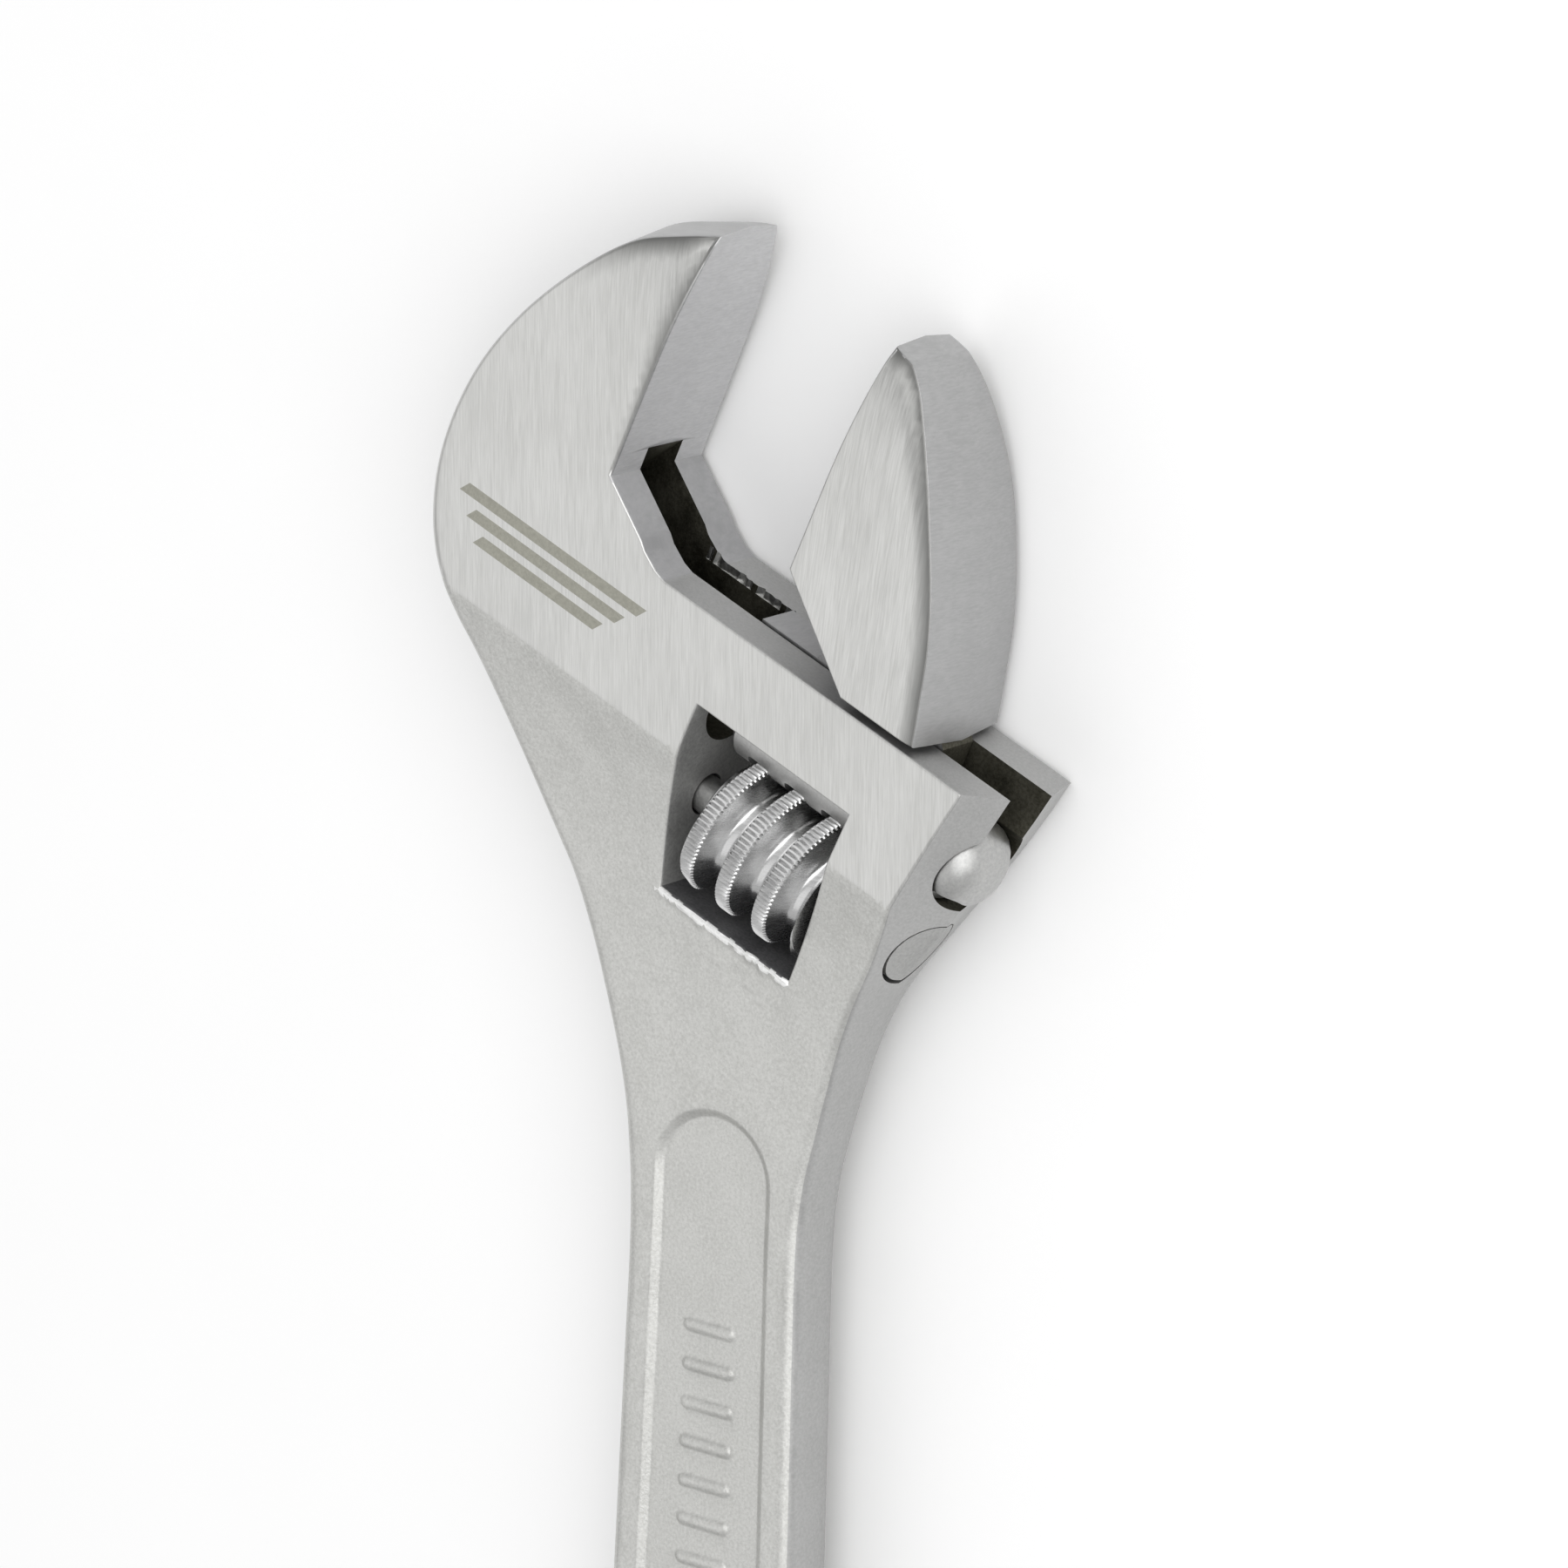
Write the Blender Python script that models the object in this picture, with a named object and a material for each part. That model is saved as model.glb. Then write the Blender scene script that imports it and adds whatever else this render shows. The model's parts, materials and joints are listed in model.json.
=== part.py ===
"""Adjustable wrench, 250 mm class: body, movable jaw, knurled worm, worm pin and spring.

Sizes are millimetres in the jaw frame and become metres when a mesh is made. In the jaw frame X is the
direction in which the movable jaw opens, Y runs up the jaws and Z is the thickness; Y = 0 is the edge that
the movable jaw slides along, X = 0 the fixed jaw's face and Z = 0 the middle of the thickness. An empty
turns the jaw frame so that the handle lies along world -X and the lower ground face rests on Z = 0.
"""

import math

import bmesh
import bpy
from mathutils import Matrix, Vector
from mathutils.geometry import delaunay_2d_cdt, intersect_point_line

MM = 0.001

# Fits
GAP = 0.3                   # between pieces that slide or touch
THROUGH = 4.0               # how far a cutter runs past the surface that it opens
REACH = 64.0                # a cutter that leaves the head's far end runs to here

# Head
HEAD_THICKNESS = 15.6
JAW_OPENING = 22.9          # movable jaw's place at rest
FACE_FOOT = 6.1             # where the fixed jaw's face meets the throat facet
JAW_TIP = 34.2              # height of both jaws
TIP_THICKNESS = 10.4
TIP_TAPER = 15.0            # length over which a jaw thins towards its tip
FACET_RUN = 10.2            # throat facet's length along X
GROUND_EDGE = -15.3         # the ground flats end along this line
SIDE_DRAFT = 0.12           # the forging's sides lean by this slope
EDGE_RADIUS = 1.5
TIP_EDGE_RADIUS = 0.6       # where the sides were machined

# Handle
HANDLE_ANGLE = math.radians(22.5)
HANDLE_OFFSET = 15.2        # handle axis from the jaw frame's origin
ORIGIN_ALONG = 11.5         # world origin on the handle axis, under the head's lower flat
HANDLE_END = 221.0          # end of the handle along its axis
HANDLE_THICKNESS = 7.8
HANDLE_HALF_START = 11.3
HANDLE_HALF_END = 13.7
HANDLE_START = 74.0         # straight edges start here
HANDLE_DRAFT = 0.1
HANDLE_EDGE_RADIUS = 1.9
NECK_LENGTH = 32.0          # the thickness falls to the handle's over this length
NECK_FALL = 2.4             # how much faster it falls beside the head
RECESS_START = 59.0
RECESS_FROM_END = 29.0
RECESS_RIM = 3.7
RECESS_DEPTH = 0.9
RECESS_WALL = 1.2           # width of the recess's sloping wall
HOLE_DIAMETER = 9.6
HOLE_FROM_END = 12.5

# Slide
SLOT_WIDTH = 5.8
SLOT_TOP = 8.7              # where the slot runs out in the fixed jaw's face
SLOT_END = -3.9             # the slot's and the bore's blind end
SLOT_RAMP = 4.0             # the slot's end drops by this below the fixed jaw's face
BORE_RADIUS = 5.1
BORE_Y = -10.0
JAW_FOOT = 0.75             # gap between the movable jaw's foot and the body
JAW_FOOT_START = 10.9
JAW_INNER_CORNER = 9.2
JAW_FOOT_WIDTH = 21.4
NECK_START = -3.4           # from the jaw's face, towards the fixed jaw
NECK_TOP = 0.2
NECK_SINK = 4.0             # how far the neck's top is buried in the jaw
RACK_START = -1.0           # the slide's ends, from the movable jaw's face
RACK_END = 30.9
RACK_DOME = ((-3.4, 0.0), (-1.9, 0.5), (-0.7, 1.6), (0.0, 3.2))

# Worm and its window
PITCH = 5.0
WORM_RADIUS = 8.5
WORM_ROOT = 5.8
WORM_START = 23.2
WORM_LENGTH = 15.5
WORM_CHAMFER = 0.9
THREAD_FIRST = 25.0         # middle of the thread's crest where it passes the front face
CREST_WIDTH = 1.7
THREAD_BASE = 3.3
THREAD_SINK = 0.6           # how far the thread's foot is buried in the root
BACKLASH = 0.5              # beside each flank of the thread, in the rack
TOOTH_CLEARANCE = 0.9       # between the rack's tooth tips and the worm's root
WINDOW_TOP = -9.4
WINDOW_BELOW_WORM = 9.2     # the window's lower edge, from the worm's axis
WINDOW_LEFT_TOP = 4.0       # the window's corners, out from the worm's ends
WINDOW_LEFT_BOTTOM = 1.7
WINDOW_RIGHT_TOP = 1.0
WINDOW_RIGHT_BOTTOM = 0.4
WINDOW_BULGE = 0.8

# Pin and spring
PIN_RADIUS = 2.0
PIN_SEAT = 8.2              # the pin's end, beyond the worm's start
PIN_HEAD_RADIUS = 4.0
PIN_WALL = 4.9              # between the worm's end and the pin's head
PIN_CHAMFER = 0.4
SPRING_WIRE = 0.8
SPRING_CLEARANCE = 0.7      # inside the spring on the pin, and outside it in the worm
SPRING_TURNS = 4.0
SPRING_OUTSIDE = 1.3        # how far the spring stands out of the worm
COUNTERBORE_DEPTH = 5.0

# Fineness of the meshes
OUTLINE_STEP = 2.6
GRID_STEP = 6.0
ROUND_STEPS = 3
CIRCLE_STEPS = 28
TURN_STEPS = 26

WIRE_SIDES = 6
WIRE_STEPS = 16
WINDOW_STEPS = 6

# Worked out from the sizes above
HALF = HEAD_THICKNESS / 2
HANDLE_HALF = HANDLE_THICKNESS / 2
RECESS_END = HANDLE_END - RECESS_FROM_END
SLIDE_RADIUS = BORE_RADIUS - GAP
WORM_END = WORM_START + WORM_LENGTH
WORM_Y = BORE_Y - SLIDE_RADIUS - TOOTH_CLEARANCE - WORM_ROOT
WINDOW_BOTTOM = WORM_Y - WINDOW_BELOW_WORM
PIN_START = WORM_START - PIN_SEAT
PIN_HEAD_START = WORM_END + PIN_WALL
SPRING_RADIUS = PIN_RADIUS + SPRING_CLEARANCE + SPRING_WIRE / 2
SPRING_START = WORM_START - SPRING_OUTSIDE
COUNTERBORE_RADIUS = SPRING_RADIUS + SPRING_WIRE / 2 + SPRING_CLEARANCE
COUNTERBORE_END = WORM_START + COUNTERBORE_DEPTH
ALONG = Vector((math.sin(HANDLE_ANGLE), -math.cos(HANDLE_ANGLE)))
ACROSS = Vector((math.cos(HANDLE_ANGLE), math.sin(HANDLE_ANGLE)))


# ---------------------------------------------------------------- scene helpers


def clear_scene():
    for obj in list(bpy.data.objects):
        bpy.data.objects.remove(obj)


def material(name, colour, roughness, metallic=1.0):
    made = bpy.data.materials.new(name)
    made.use_nodes = True
    shader = made.node_tree.nodes["Principled BSDF"]
    shader.inputs["Base Color"].default_value = (*colour, 1.0)
    shader.inputs["Roughness"].default_value = roughness
    shader.inputs["Metallic"].default_value = metallic
    return made


def object_from(bm, name, parent):
    """An object from a mesh in millimetres, with its faces turned out."""
    bmesh.ops.remove_doubles(bm, verts=bm.verts, dist=1e-5)
    bmesh.ops.recalc_face_normals(bm, faces=bm.faces)
    bmesh.ops.scale(bm, vec=(MM, MM, MM), verts=bm.verts)
    mesh = bpy.data.meshes.new(name)
    bm.to_mesh(mesh)
    bm.free()
    obj = bpy.data.objects.new(name, mesh)
    bpy.context.scene.collection.objects.link(obj)
    obj.parent = parent
    return obj


def finish_node(obj, look, angle=30):
    obj.data.materials.append(look)
    obj.data.shade_smooth()
    obj.data.set_sharp_from_angle(angle=math.radians(angle))


def boolean(obj, other, operation="DIFFERENCE"):
    other.hide_render = True
    other.display_type = "WIRE"
    modifier = obj.modifiers.new(other.name, "BOOLEAN")
    modifier.object = other
    modifier.operation = operation
    modifier.solver = "EXACT"


# ---------------------------------------------------------------- plan geometry


def handle_point(along, across):
    """The plan point at a distance along the handle and a distance to one side of its axis."""
    return ALONG * along + ACROSS * (HANDLE_OFFSET + across)


def ease(value):
    value = min(max(value, 0.0), 1.0)
    return value * value * (3 - 2 * value)


def handle_half_width(along):
    share = (along - HANDLE_START) / (HANDLE_END - HANDLE_START)
    return HANDLE_HALF_START + (HANDLE_HALF_END - HANDLE_HALF_START) * min(max(share, 0.0), 1.0)


def spline(points, step):
    """Catmull-Rom curve through the points of an outline, without its two end spans."""
    curve = []
    for before, start, end, after in zip(points, points[1:], points[2:], points[3:]):
        length = math.hypot(end[0] - start[0], end[1] - start[1])
        count = max(1, round(length / step))
        for index in range(count):
            t = index / count
            curve.append(tuple(
                0.5 * (2 * s + (e - b) * t + (2 * b - 5 * s + 4 * e - a) * t * t
                       + (3 * s - b - 3 * e + a) * t ** 3)
                for b, s, e, a in zip(before, start, end, after)
            ))
    curve.append(tuple(points[-2]))
    return curve


def handle_end_arc(step):
    """The handle's round end, from its left edge to its right one."""
    radius = HANDLE_HALF_END
    centre = handle_point(HANDLE_END - radius, 0)
    count = max(8, round(math.pi * radius / step))
    arc = []
    for index in range(count + 1):
        turn = math.pi * index / count
        place = centre - ACROSS * radius * math.cos(turn) + ALONG * radius * math.sin(turn)
        arc.append((place.x, place.y, HANDLE_DRAFT, HANDLE_DRAFT, HANDLE_EDGE_RADIUS))
    return arc


def body_outline(step):
    """The forging's widest outline, counter-clockwise from the fixed jaw's tip.

    Each point is (x, y, slope of the side above it, slope below it, edge radius).
    It runs on past the machined jaw face and slide edge, which cut it later.
    """
    tip = JAW_TIP
    machined = (SIDE_DRAFT, SIDE_DRAFT, TIP_EDGE_RADIUS)
    forged = (SIDE_DRAFT, SIDE_DRAFT, EDGE_RADIUS)
    fixed_jaw = [
        (16.0, tip + 2.8, *machined),
        (6.0, tip + 1.8, *machined),
        (0.0, tip + 0.1, *machined),
        (-4.6, tip - 2.1, *machined),
        (-9.1, tip - 5.2, SIDE_DRAFT, SIDE_DRAFT, 1.0),
        (-13.7, tip - 11.2, *forged),
        (-17.9, tip - 18.8, *forged),
        (-20.6, 7.5, *forged),
        (-21.4, -0.5, *forged),
        (-20.4, -7.5, *forged),
        (-17.6, -13.6, *forged),
        (-12.9, -18.4, *forged),
        (-8.2, -21.9, *forged),
        (2.9, -30.7, *forged),
        (9.0, -35.4, *forged),
        (14.3, -40.6, *forged),
        (19.1, -46.1, *forged),
        (23.7, -51.8, *forged),
    ]
    handle = (HANDLE_DRAFT, HANDLE_DRAFT, HANDLE_EDGE_RADIUS)
    stations = [HANDLE_START, HANDLE_START + 20, HANDLE_START + 40]
    left = [(27.5, -57.9, *handle)]
    left += [(*handle_point(along, -handle_half_width(along)), *handle) for along in stations]
    right = [(*handle_point(along, handle_half_width(along)), *handle) for along in reversed(stations)]
    slide_end = [
        (50.2, -50.6, 0.10, 0.10, 1.8),
        (49.2, -45.3, 0.10, 0.10, 1.6),
        (48.4, -39.5, 0.11, 0.11, 1.4),
        (47.8, -33.3, 0.12, 0.11, 1.2),
        (48.2, -27.0, 0.16, 0.12, 1.0),
        (50.5, -18.9, 0.38, 0.19, 0.9),
        (53.1, -9.0, 0.54, 0.20, 0.8),
        (54.9, 0.0, 0.58, 0.20, 0.8),
        (55.6, 7.0, 0.54, 0.20, 0.8),
        (53.5, 16.0, 0.4, 0.2, 0.8),
        (47.5, 25.5, 0.3, 0.2, 1.0),
        (38.0, 32.5, 0.2, 0.2, 1.0),
        (27.0, tip + 2.6, *machined),
        (16.0, tip + 2.8, *machined),
        (6.0, tip + 1.8, *machined),
    ]
    outline = spline(fixed_jaw + left, step)
    outline += handle_end_arc(step)
    outline += spline(right + slide_end, step)
    return outline


def inset_direction(points, index):
    before, after = points[index - 1], points[(index + 1) % len(points)]
    along = Vector((after[0] - before[0], after[1] - before[1])).normalized()
    return Vector((-along.y, along.x))


def tip_height(y):
    """Half thickness of a jaw, which thins towards its tip along a curve."""
    share = (y - (JAW_TIP - TIP_TAPER)) / TIP_TAPER
    return HALF - (HALF - TIP_THICKNESS / 2) * max(share, 0.0) ** 2.2


def body_height(x, y):
    """Half thickness of the body before it is machined."""
    if y > GROUND_EDGE:
        return tip_height(y)
    share = min((GROUND_EDGE - y) / NECK_LENGTH, 1.0)
    fall = 1 - (1 - share) ** NECK_FALL
    return HALF - (HALF - HANDLE_HALF) * fall


def recess_outline(inset, step):
    """The panel in the handle, with round ends, as plan points."""
    start = RECESS_START + inset
    end = RECESS_END - inset
    half_start = handle_half_width(HANDLE_START) - RECESS_RIM - inset
    half_end = handle_half_width(RECESS_END) - RECESS_RIM - inset
    count = max(6, round(math.pi * half_start / step))
    near, far = [], []
    for index in range(count + 1):
        turn = math.pi * index / count
        near.append(handle_point(start + half_start * (1 - math.sin(turn)), half_start * math.cos(turn)))
        far.append(handle_point(end - half_end * (1 - math.sin(turn)), -half_end * math.cos(turn)))
    return near + far


def inside(point, loop):
    odd = False
    for start, end in zip(loop, loop[1:] + loop[:1]):
        if (start[1] > point[1]) == (end[1] > point[1]):
            continue
        cross = start[0] + (point[1] - start[1]) * (end[0] - start[0]) / (end[1] - start[1])
        odd = odd != (point[0] < cross)
    return odd


def clearance(point, loop):
    least = math.inf
    for start, end in zip(loop, loop[1:] + loop[:1]):
        near, share = intersect_point_line(point, start, end)
        near = start if share < 0 else end if share > 1 else near
        least = min(least, (Vector(point) - Vector(near).to_2d()).length)
    return least


# ---------------------------------------------------------------- forged blanks


def forged_blank(outline, height, lines=()):
    """A closed forging over an outline: sloping sides, round edges and faces that follow height(x, y).

    lines are closed plan loops, each with its own depth below height, that the faces also follow.
    """
    bm = bmesh.new()
    inward = [inset_direction(outline, index) for index in range(len(outline))]
    middle = [bm.verts.new((point[0], point[1], 0)) for point in outline]
    for side in (1, -1):
        rings = [side_ring(outline, inward, height, side, step) for step in range(ROUND_STEPS + 1)]
        lower = middle
        for ring in rings[:-1]:
            upper = [bm.verts.new((place.x, place.y, side * z)) for place, z in ring]
            join_rings(bm, lower, upper)
            lower = upper
        face_sheet(bm, lower, [place for place, _ in rings[-1]], height, lines, side)
    return bm


def side_ring(outline, inward, height, side, step):
    """One ring of the sloping side and its round edge, as (plan point, height above the middle)."""
    turn = math.pi / 2 * step / ROUND_STEPS
    ring = []
    for (x, y, above, below, radius), direction in zip(outline, inward):
        slope = above if side > 0 else below
        full = height(x + radius * direction.x, y + radius * direction.y)
        inset = slope * (full - radius) + radius * (1 - math.cos(turn))
        ring.append((Vector((x, y)) + direction * inset, full - radius * (1 - math.sin(turn))))
    return ring


def join_rings(bm, lower, upper):
    count = len(lower)
    for index in range(count):
        after = (index + 1) % count
        bm.faces.new((lower[index], lower[after], upper[after], upper[index]))


def face_sheet(bm, rim, edge, height, lines, side):
    """The face inside the last ring: triangles over its points, the lines and a square grid."""
    points = [Vector(place) for place in edge]
    loops = [list(points)]
    edges = [(index, (index + 1) % len(points)) for index in range(len(points))]
    depths = [0.0] * len(points)
    for loop, depth in lines:
        first = len(points)
        points += [Vector(place) for place in loop]
        depths += [depth] * len(loop)
        edges += [(first + index, first + (index + 1) % len(loop)) for index in range(len(loop))]
        loops.append(list(loop))
    for place in grid_points(loops[0]):
        if all(clearance(place, loop) > 0.4 * GRID_STEP for loop in loops):
            points.append(place)
            depths.append(max([depth for (loop, depth) in lines if inside(place, loop)], default=0.0))
    found = delaunay_2d_cdt(points, edges, [], 1, 1e-6)
    verts = []
    for place, origins in zip(found[0], found[3]):
        depth = depths[origins[0]]
        verts.append(bm.verts.new((place.x, place.y, side * (height(place.x, place.y) - depth))))
    for corners in found[2]:
        bm.faces.new([verts[corner] for corner in corners])
    top = {origins[0]: vert for origins, vert in zip(found[3], verts)}
    join_rings(bm, rim, [top[index] for index in range(len(edge))])


def grid_points(loop):
    low_x, high_x = min(p[0] for p in loop), max(p[0] for p in loop)
    low_y, high_y = min(p[1] for p in loop), max(p[1] for p in loop)
    columns = int((high_x - low_x) / GRID_STEP)
    rows = int((high_y - low_y) / GRID_STEP)
    for row in range(rows + 1):
        for column in range(columns + 1):
            place = Vector((low_x + column * GRID_STEP, low_y + row * GRID_STEP))
            if inside(place, loop):
                yield place


# ---------------------------------------------------------------- simple solids


def prism(corners, low, high):
    """A plan polygon, extruded between two heights."""
    bm = bmesh.new()
    lower = [bm.verts.new((x, y, low)) for x, y in corners]
    upper = [bm.verts.new((x, y, high)) for x, y in corners]
    bm.faces.new(lower)
    bm.faces.new(upper)
    join_rings(bm, lower, upper)
    return bm


def turned(profile, centre_y, steps=CIRCLE_STEPS):
    """A profile of (x, radius) points, turned about the line along X at centre_y."""
    bm = bmesh.new()
    rings = []
    for x, radius in profile:
        rings.append([
            bm.verts.new((
                x,
                centre_y + radius * math.cos(2 * math.pi * index / steps),
                radius * math.sin(2 * math.pi * index / steps),
            ))
            for index in range(steps)
        ])
    for lower, upper in zip(rings, rings[1:]):
        join_rings(bm, lower, upper)
    if profile[0] != profile[-1]:
        bm.faces.new(rings[0])
        bm.faces.new(rings[-1])
    return bm


def upright_cylinder(centre, radius, half_length, steps=CIRCLE_STEPS):
    corners = [
        (
            centre[0] + radius * math.cos(2 * math.pi * index / steps),
            centre[1] + radius * math.sin(2 * math.pi * index / steps),
        )
        for index in range(steps)
    ]
    return prism(corners, -half_length, half_length)


def arc_points(start, end, bulge, steps):
    """Points from start to end along a shallow arc that stands bulge to the left of the chord."""
    start, end = Vector(start), Vector(end)
    chord = end - start
    left = Vector((-chord.y, chord.x)).normalized()
    return [
        tuple(start + chord * t + left * bulge * 4 * t * (1 - t))
        for t in (index / steps for index in range(steps + 1))
    ]


# ---------------------------------------------------------------- the five pieces


def mouth_corners():
    """Everything between the jaws and above the slide edge, which is cut from the body."""
    top = JAW_TIP + 2 * THROUGH
    return [(0.0, top), (0.0, FACE_FOOT), (FACET_RUN, 0.0), (REACH, 0.0), (REACH, top)]


def slot_corners():
    """The narrow slot for the movable jaw's neck, open upwards and to the right."""
    return [
        (SLOT_END, BORE_Y),
        (SLOT_END, FACE_FOOT - SLOT_RAMP),
        (0.0, SLOT_TOP),
        (REACH, SLOT_TOP),
        (REACH, BORE_Y),
    ]


def window_corners():
    left = arc_points(
        (WORM_START - WINDOW_LEFT_TOP, WINDOW_TOP),
        (WORM_START - WINDOW_LEFT_BOTTOM, WINDOW_BOTTOM),
        -WINDOW_BULGE,
        WINDOW_STEPS,
    )
    return left + [
        (WORM_END + WINDOW_RIGHT_BOTTOM, WINDOW_BOTTOM),
        (WORM_END + WINDOW_RIGHT_TOP, WINDOW_TOP),
    ]


def build_body(frame, look):
    blank = forged_blank(
        body_outline(OUTLINE_STEP),
        body_height,
        [
            (recess_outline(0.0, OUTLINE_STEP), 0.0),
            (recess_outline(RECESS_WALL, OUTLINE_STEP), RECESS_DEPTH),
        ],
    )
    body = object_from(blank, "body", frame)
    outer = HALF + THROUGH
    cutters = [
        ("mouth_cutter", prism(mouth_corners(), -outer, outer)),
        ("slot_cutter", prism(slot_corners(), -SLOT_WIDTH / 2, SLOT_WIDTH / 2)),
        ("slide_bore_cutter", turned([(SLOT_END, BORE_RADIUS), (REACH, BORE_RADIUS)], BORE_Y)),
        ("window_cutter", prism(window_corners(), -outer, outer)),
        ("pin_bore_cutter", turned(
            [
                (PIN_START - GAP, PIN_RADIUS + GAP),
                (PIN_HEAD_START - GAP, PIN_RADIUS + GAP),
                (PIN_HEAD_START - GAP, PIN_HEAD_RADIUS + GAP),
                (REACH, PIN_HEAD_RADIUS + GAP),
            ],
            WORM_Y,
        )),
        ("hanging_hole_cutter", upright_cylinder(
            handle_point(HANDLE_END - HOLE_FROM_END, 0), HOLE_DIAMETER / 2, outer
        )),
    ]
    for name, cutter in cutters:
        boolean(body, object_from(cutter, name, frame))
    finish_node(body, look)
    return body


def jaw_outline(step):
    """The movable jaw's outer outline, from past its face round to past its foot, counter-clockwise."""
    edge = (SIDE_DRAFT, SIDE_DRAFT, TIP_EDGE_RADIUS)
    points = [
        (20.9, -12.0, *edge),
        (21.6, -6.0, *edge),
        (JAW_FOOT_WIDTH, 0.0, *edge),
        (20.0, 6.0, *edge),
        (18.3, 12.0, *edge),
        (15.4, 18.6, *edge),
        (11.4, 25.6, *edge),
        (6.4, JAW_TIP - 2.4, *edge),
        (2.4, JAW_TIP + 0.6, *edge),
        (-0.6, JAW_TIP + 0.8, *edge),
        (-5.0, JAW_TIP - 0.4, *edge),
        (-9.0, JAW_TIP - 4.0, *edge),
    ]
    back = [(-9.0, height, *edge) for height in (22.0, 12.0, 2.0, -6.0)]
    return spline(points, step) + back


def jaw_keep_corners():
    """What is left of the jaw's forging once its face, facet and foot are machined."""
    return [
        (0.0, JAW_TIP + THROUGH),
        (0.0, JAW_INNER_CORNER),
        (JAW_FOOT_START, JAW_FOOT),
        (JAW_FOOT_WIDTH + THROUGH, JAW_FOOT),
        (JAW_FOOT_WIDTH + THROUGH, JAW_TIP + THROUGH),
    ]


def rack_cutter(frame):
    """The gaps between the slide's teeth: ridges at the worm thread's slope, one for each turn."""
    bm = bmesh.new()
    slope = PITCH / (2 * math.pi * (WORM_RADIUS - GAP))
    top = WORM_Y + WORM_RADIUS + GAP
    bottom = BORE_Y - BORE_RADIUS - THROUGH / 2
    rise = (THREAD_BASE - CREST_WIDTH) / 2 / (WORM_RADIUS - WORM_ROOT)
    reach = BORE_RADIUS + GAP
    half_top = CREST_WIDTH / 2 + BACKLASH
    half_bottom = half_top + rise * (top - bottom)
    first = math.ceil((RACK_START - half_bottom - crest_x(0)) / PITCH)
    last = math.floor((RACK_END + half_bottom - crest_x(0)) / PITCH)
    for tooth in range(first, last + 1):
        middle = crest_x(tooth)
        loops = []
        for z in (-reach, reach):
            shift = middle - slope * z
            loops.append([
                bm.verts.new((shift - half_bottom, bottom, z)),
                bm.verts.new((shift + half_bottom, bottom, z)),
                bm.verts.new((shift + half_top, top, z)),
                bm.verts.new((shift - half_top, top, z)),
            ])
        bm.faces.new(loops[0])
        bm.faces.new(loops[1])
        join_rings(bm, loops[0], loops[1])
    return object_from(bm, "rack_cutter", frame)


def crest_x(tooth):
    """Where a thread crest crosses the rack, from the movable jaw's face at rest."""
    return THREAD_FIRST + PITCH * (tooth + 0.25) - JAW_OPENING


def build_movable_jaw(frame, look):
    """The jaw's origin is at its face, on the slide edge, so that it moves along the frame's X."""
    plate = object_from(
        forged_blank(jaw_outline(OUTLINE_STEP), lambda x, y: tip_height(y)),
        "movable_jaw", frame,
    )
    holder = bpy.data.objects.new("jaw_slide_origin", None)
    bpy.context.scene.collection.objects.link(holder)
    holder.parent = frame
    holder.location = (JAW_OPENING * MM, 0, 0)
    plate.parent = holder
    outer = HALF + THROUGH
    keep = object_from(prism(jaw_keep_corners(), -outer, outer), "jaw_keep", holder)
    half_neck = SLOT_WIDTH / 2 - GAP
    neck_top = JAW_FOOT + NECK_SINK
    neck_corners = [
        (NECK_START, BORE_Y),
        (NECK_START, NECK_TOP),
        (NECK_SINK, NECK_TOP),
        (JAW_FOOT_START - NECK_SINK, neck_top),
        (JAW_FOOT_WIDTH - NECK_SINK, neck_top),
        (JAW_FOOT_WIDTH - GAP, 0.0),
        (JAW_FOOT_WIDTH - GAP, BORE_Y),
    ]
    neck = object_from(prism(neck_corners, -half_neck, half_neck), "jaw_neck", holder)
    dome = [(RACK_END + back, SLIDE_RADIUS - inset) for back, inset in RACK_DOME]
    start = [(RACK_START, SLIDE_RADIUS - EDGE_RADIUS / 2), (RACK_START + EDGE_RADIUS / 2, SLIDE_RADIUS)]
    slide = object_from(turned(start + dome, BORE_Y), "jaw_slide_bar", holder)
    boolean(plate, keep, "INTERSECT")
    boolean(plate, neck, "UNION")
    boolean(plate, slide, "UNION")
    boolean(plate, rack_cutter(holder))
    finish_node(plate, look)
    return plate


def thread_ribbon(first, last):
    """A ridge wound round the worm's root between two turns, each counted from THREAD_FIRST."""
    bm = bmesh.new()
    buried = WORM_ROOT - THREAD_SINK
    section = [
        (-THREAD_BASE / 2, buried),
        (-THREAD_BASE / 2, WORM_ROOT),
        (-CREST_WIDTH / 2, WORM_RADIUS),
        (CREST_WIDTH / 2, WORM_RADIUS),
        (THREAD_BASE / 2, WORM_ROOT),
        (THREAD_BASE / 2, buried),
    ]
    count = round((last - first) * TURN_STEPS)
    rings = []
    for index in range(count + 1):
        turn = first + index / TURN_STEPS
        angle = 2 * math.pi * turn
        rings.append([
            bm.verts.new((
                THREAD_FIRST + PITCH * turn + x,
                WORM_Y + radius * math.sin(angle),
                radius * math.cos(angle),
            ))
            for x, radius in section
        ])
    for lower, upper in zip(rings, rings[1:]):
        join_rings(bm, lower, upper)
    bm.faces.new(rings[0])
    bm.faces.new(rings[-1])
    return bm


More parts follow.
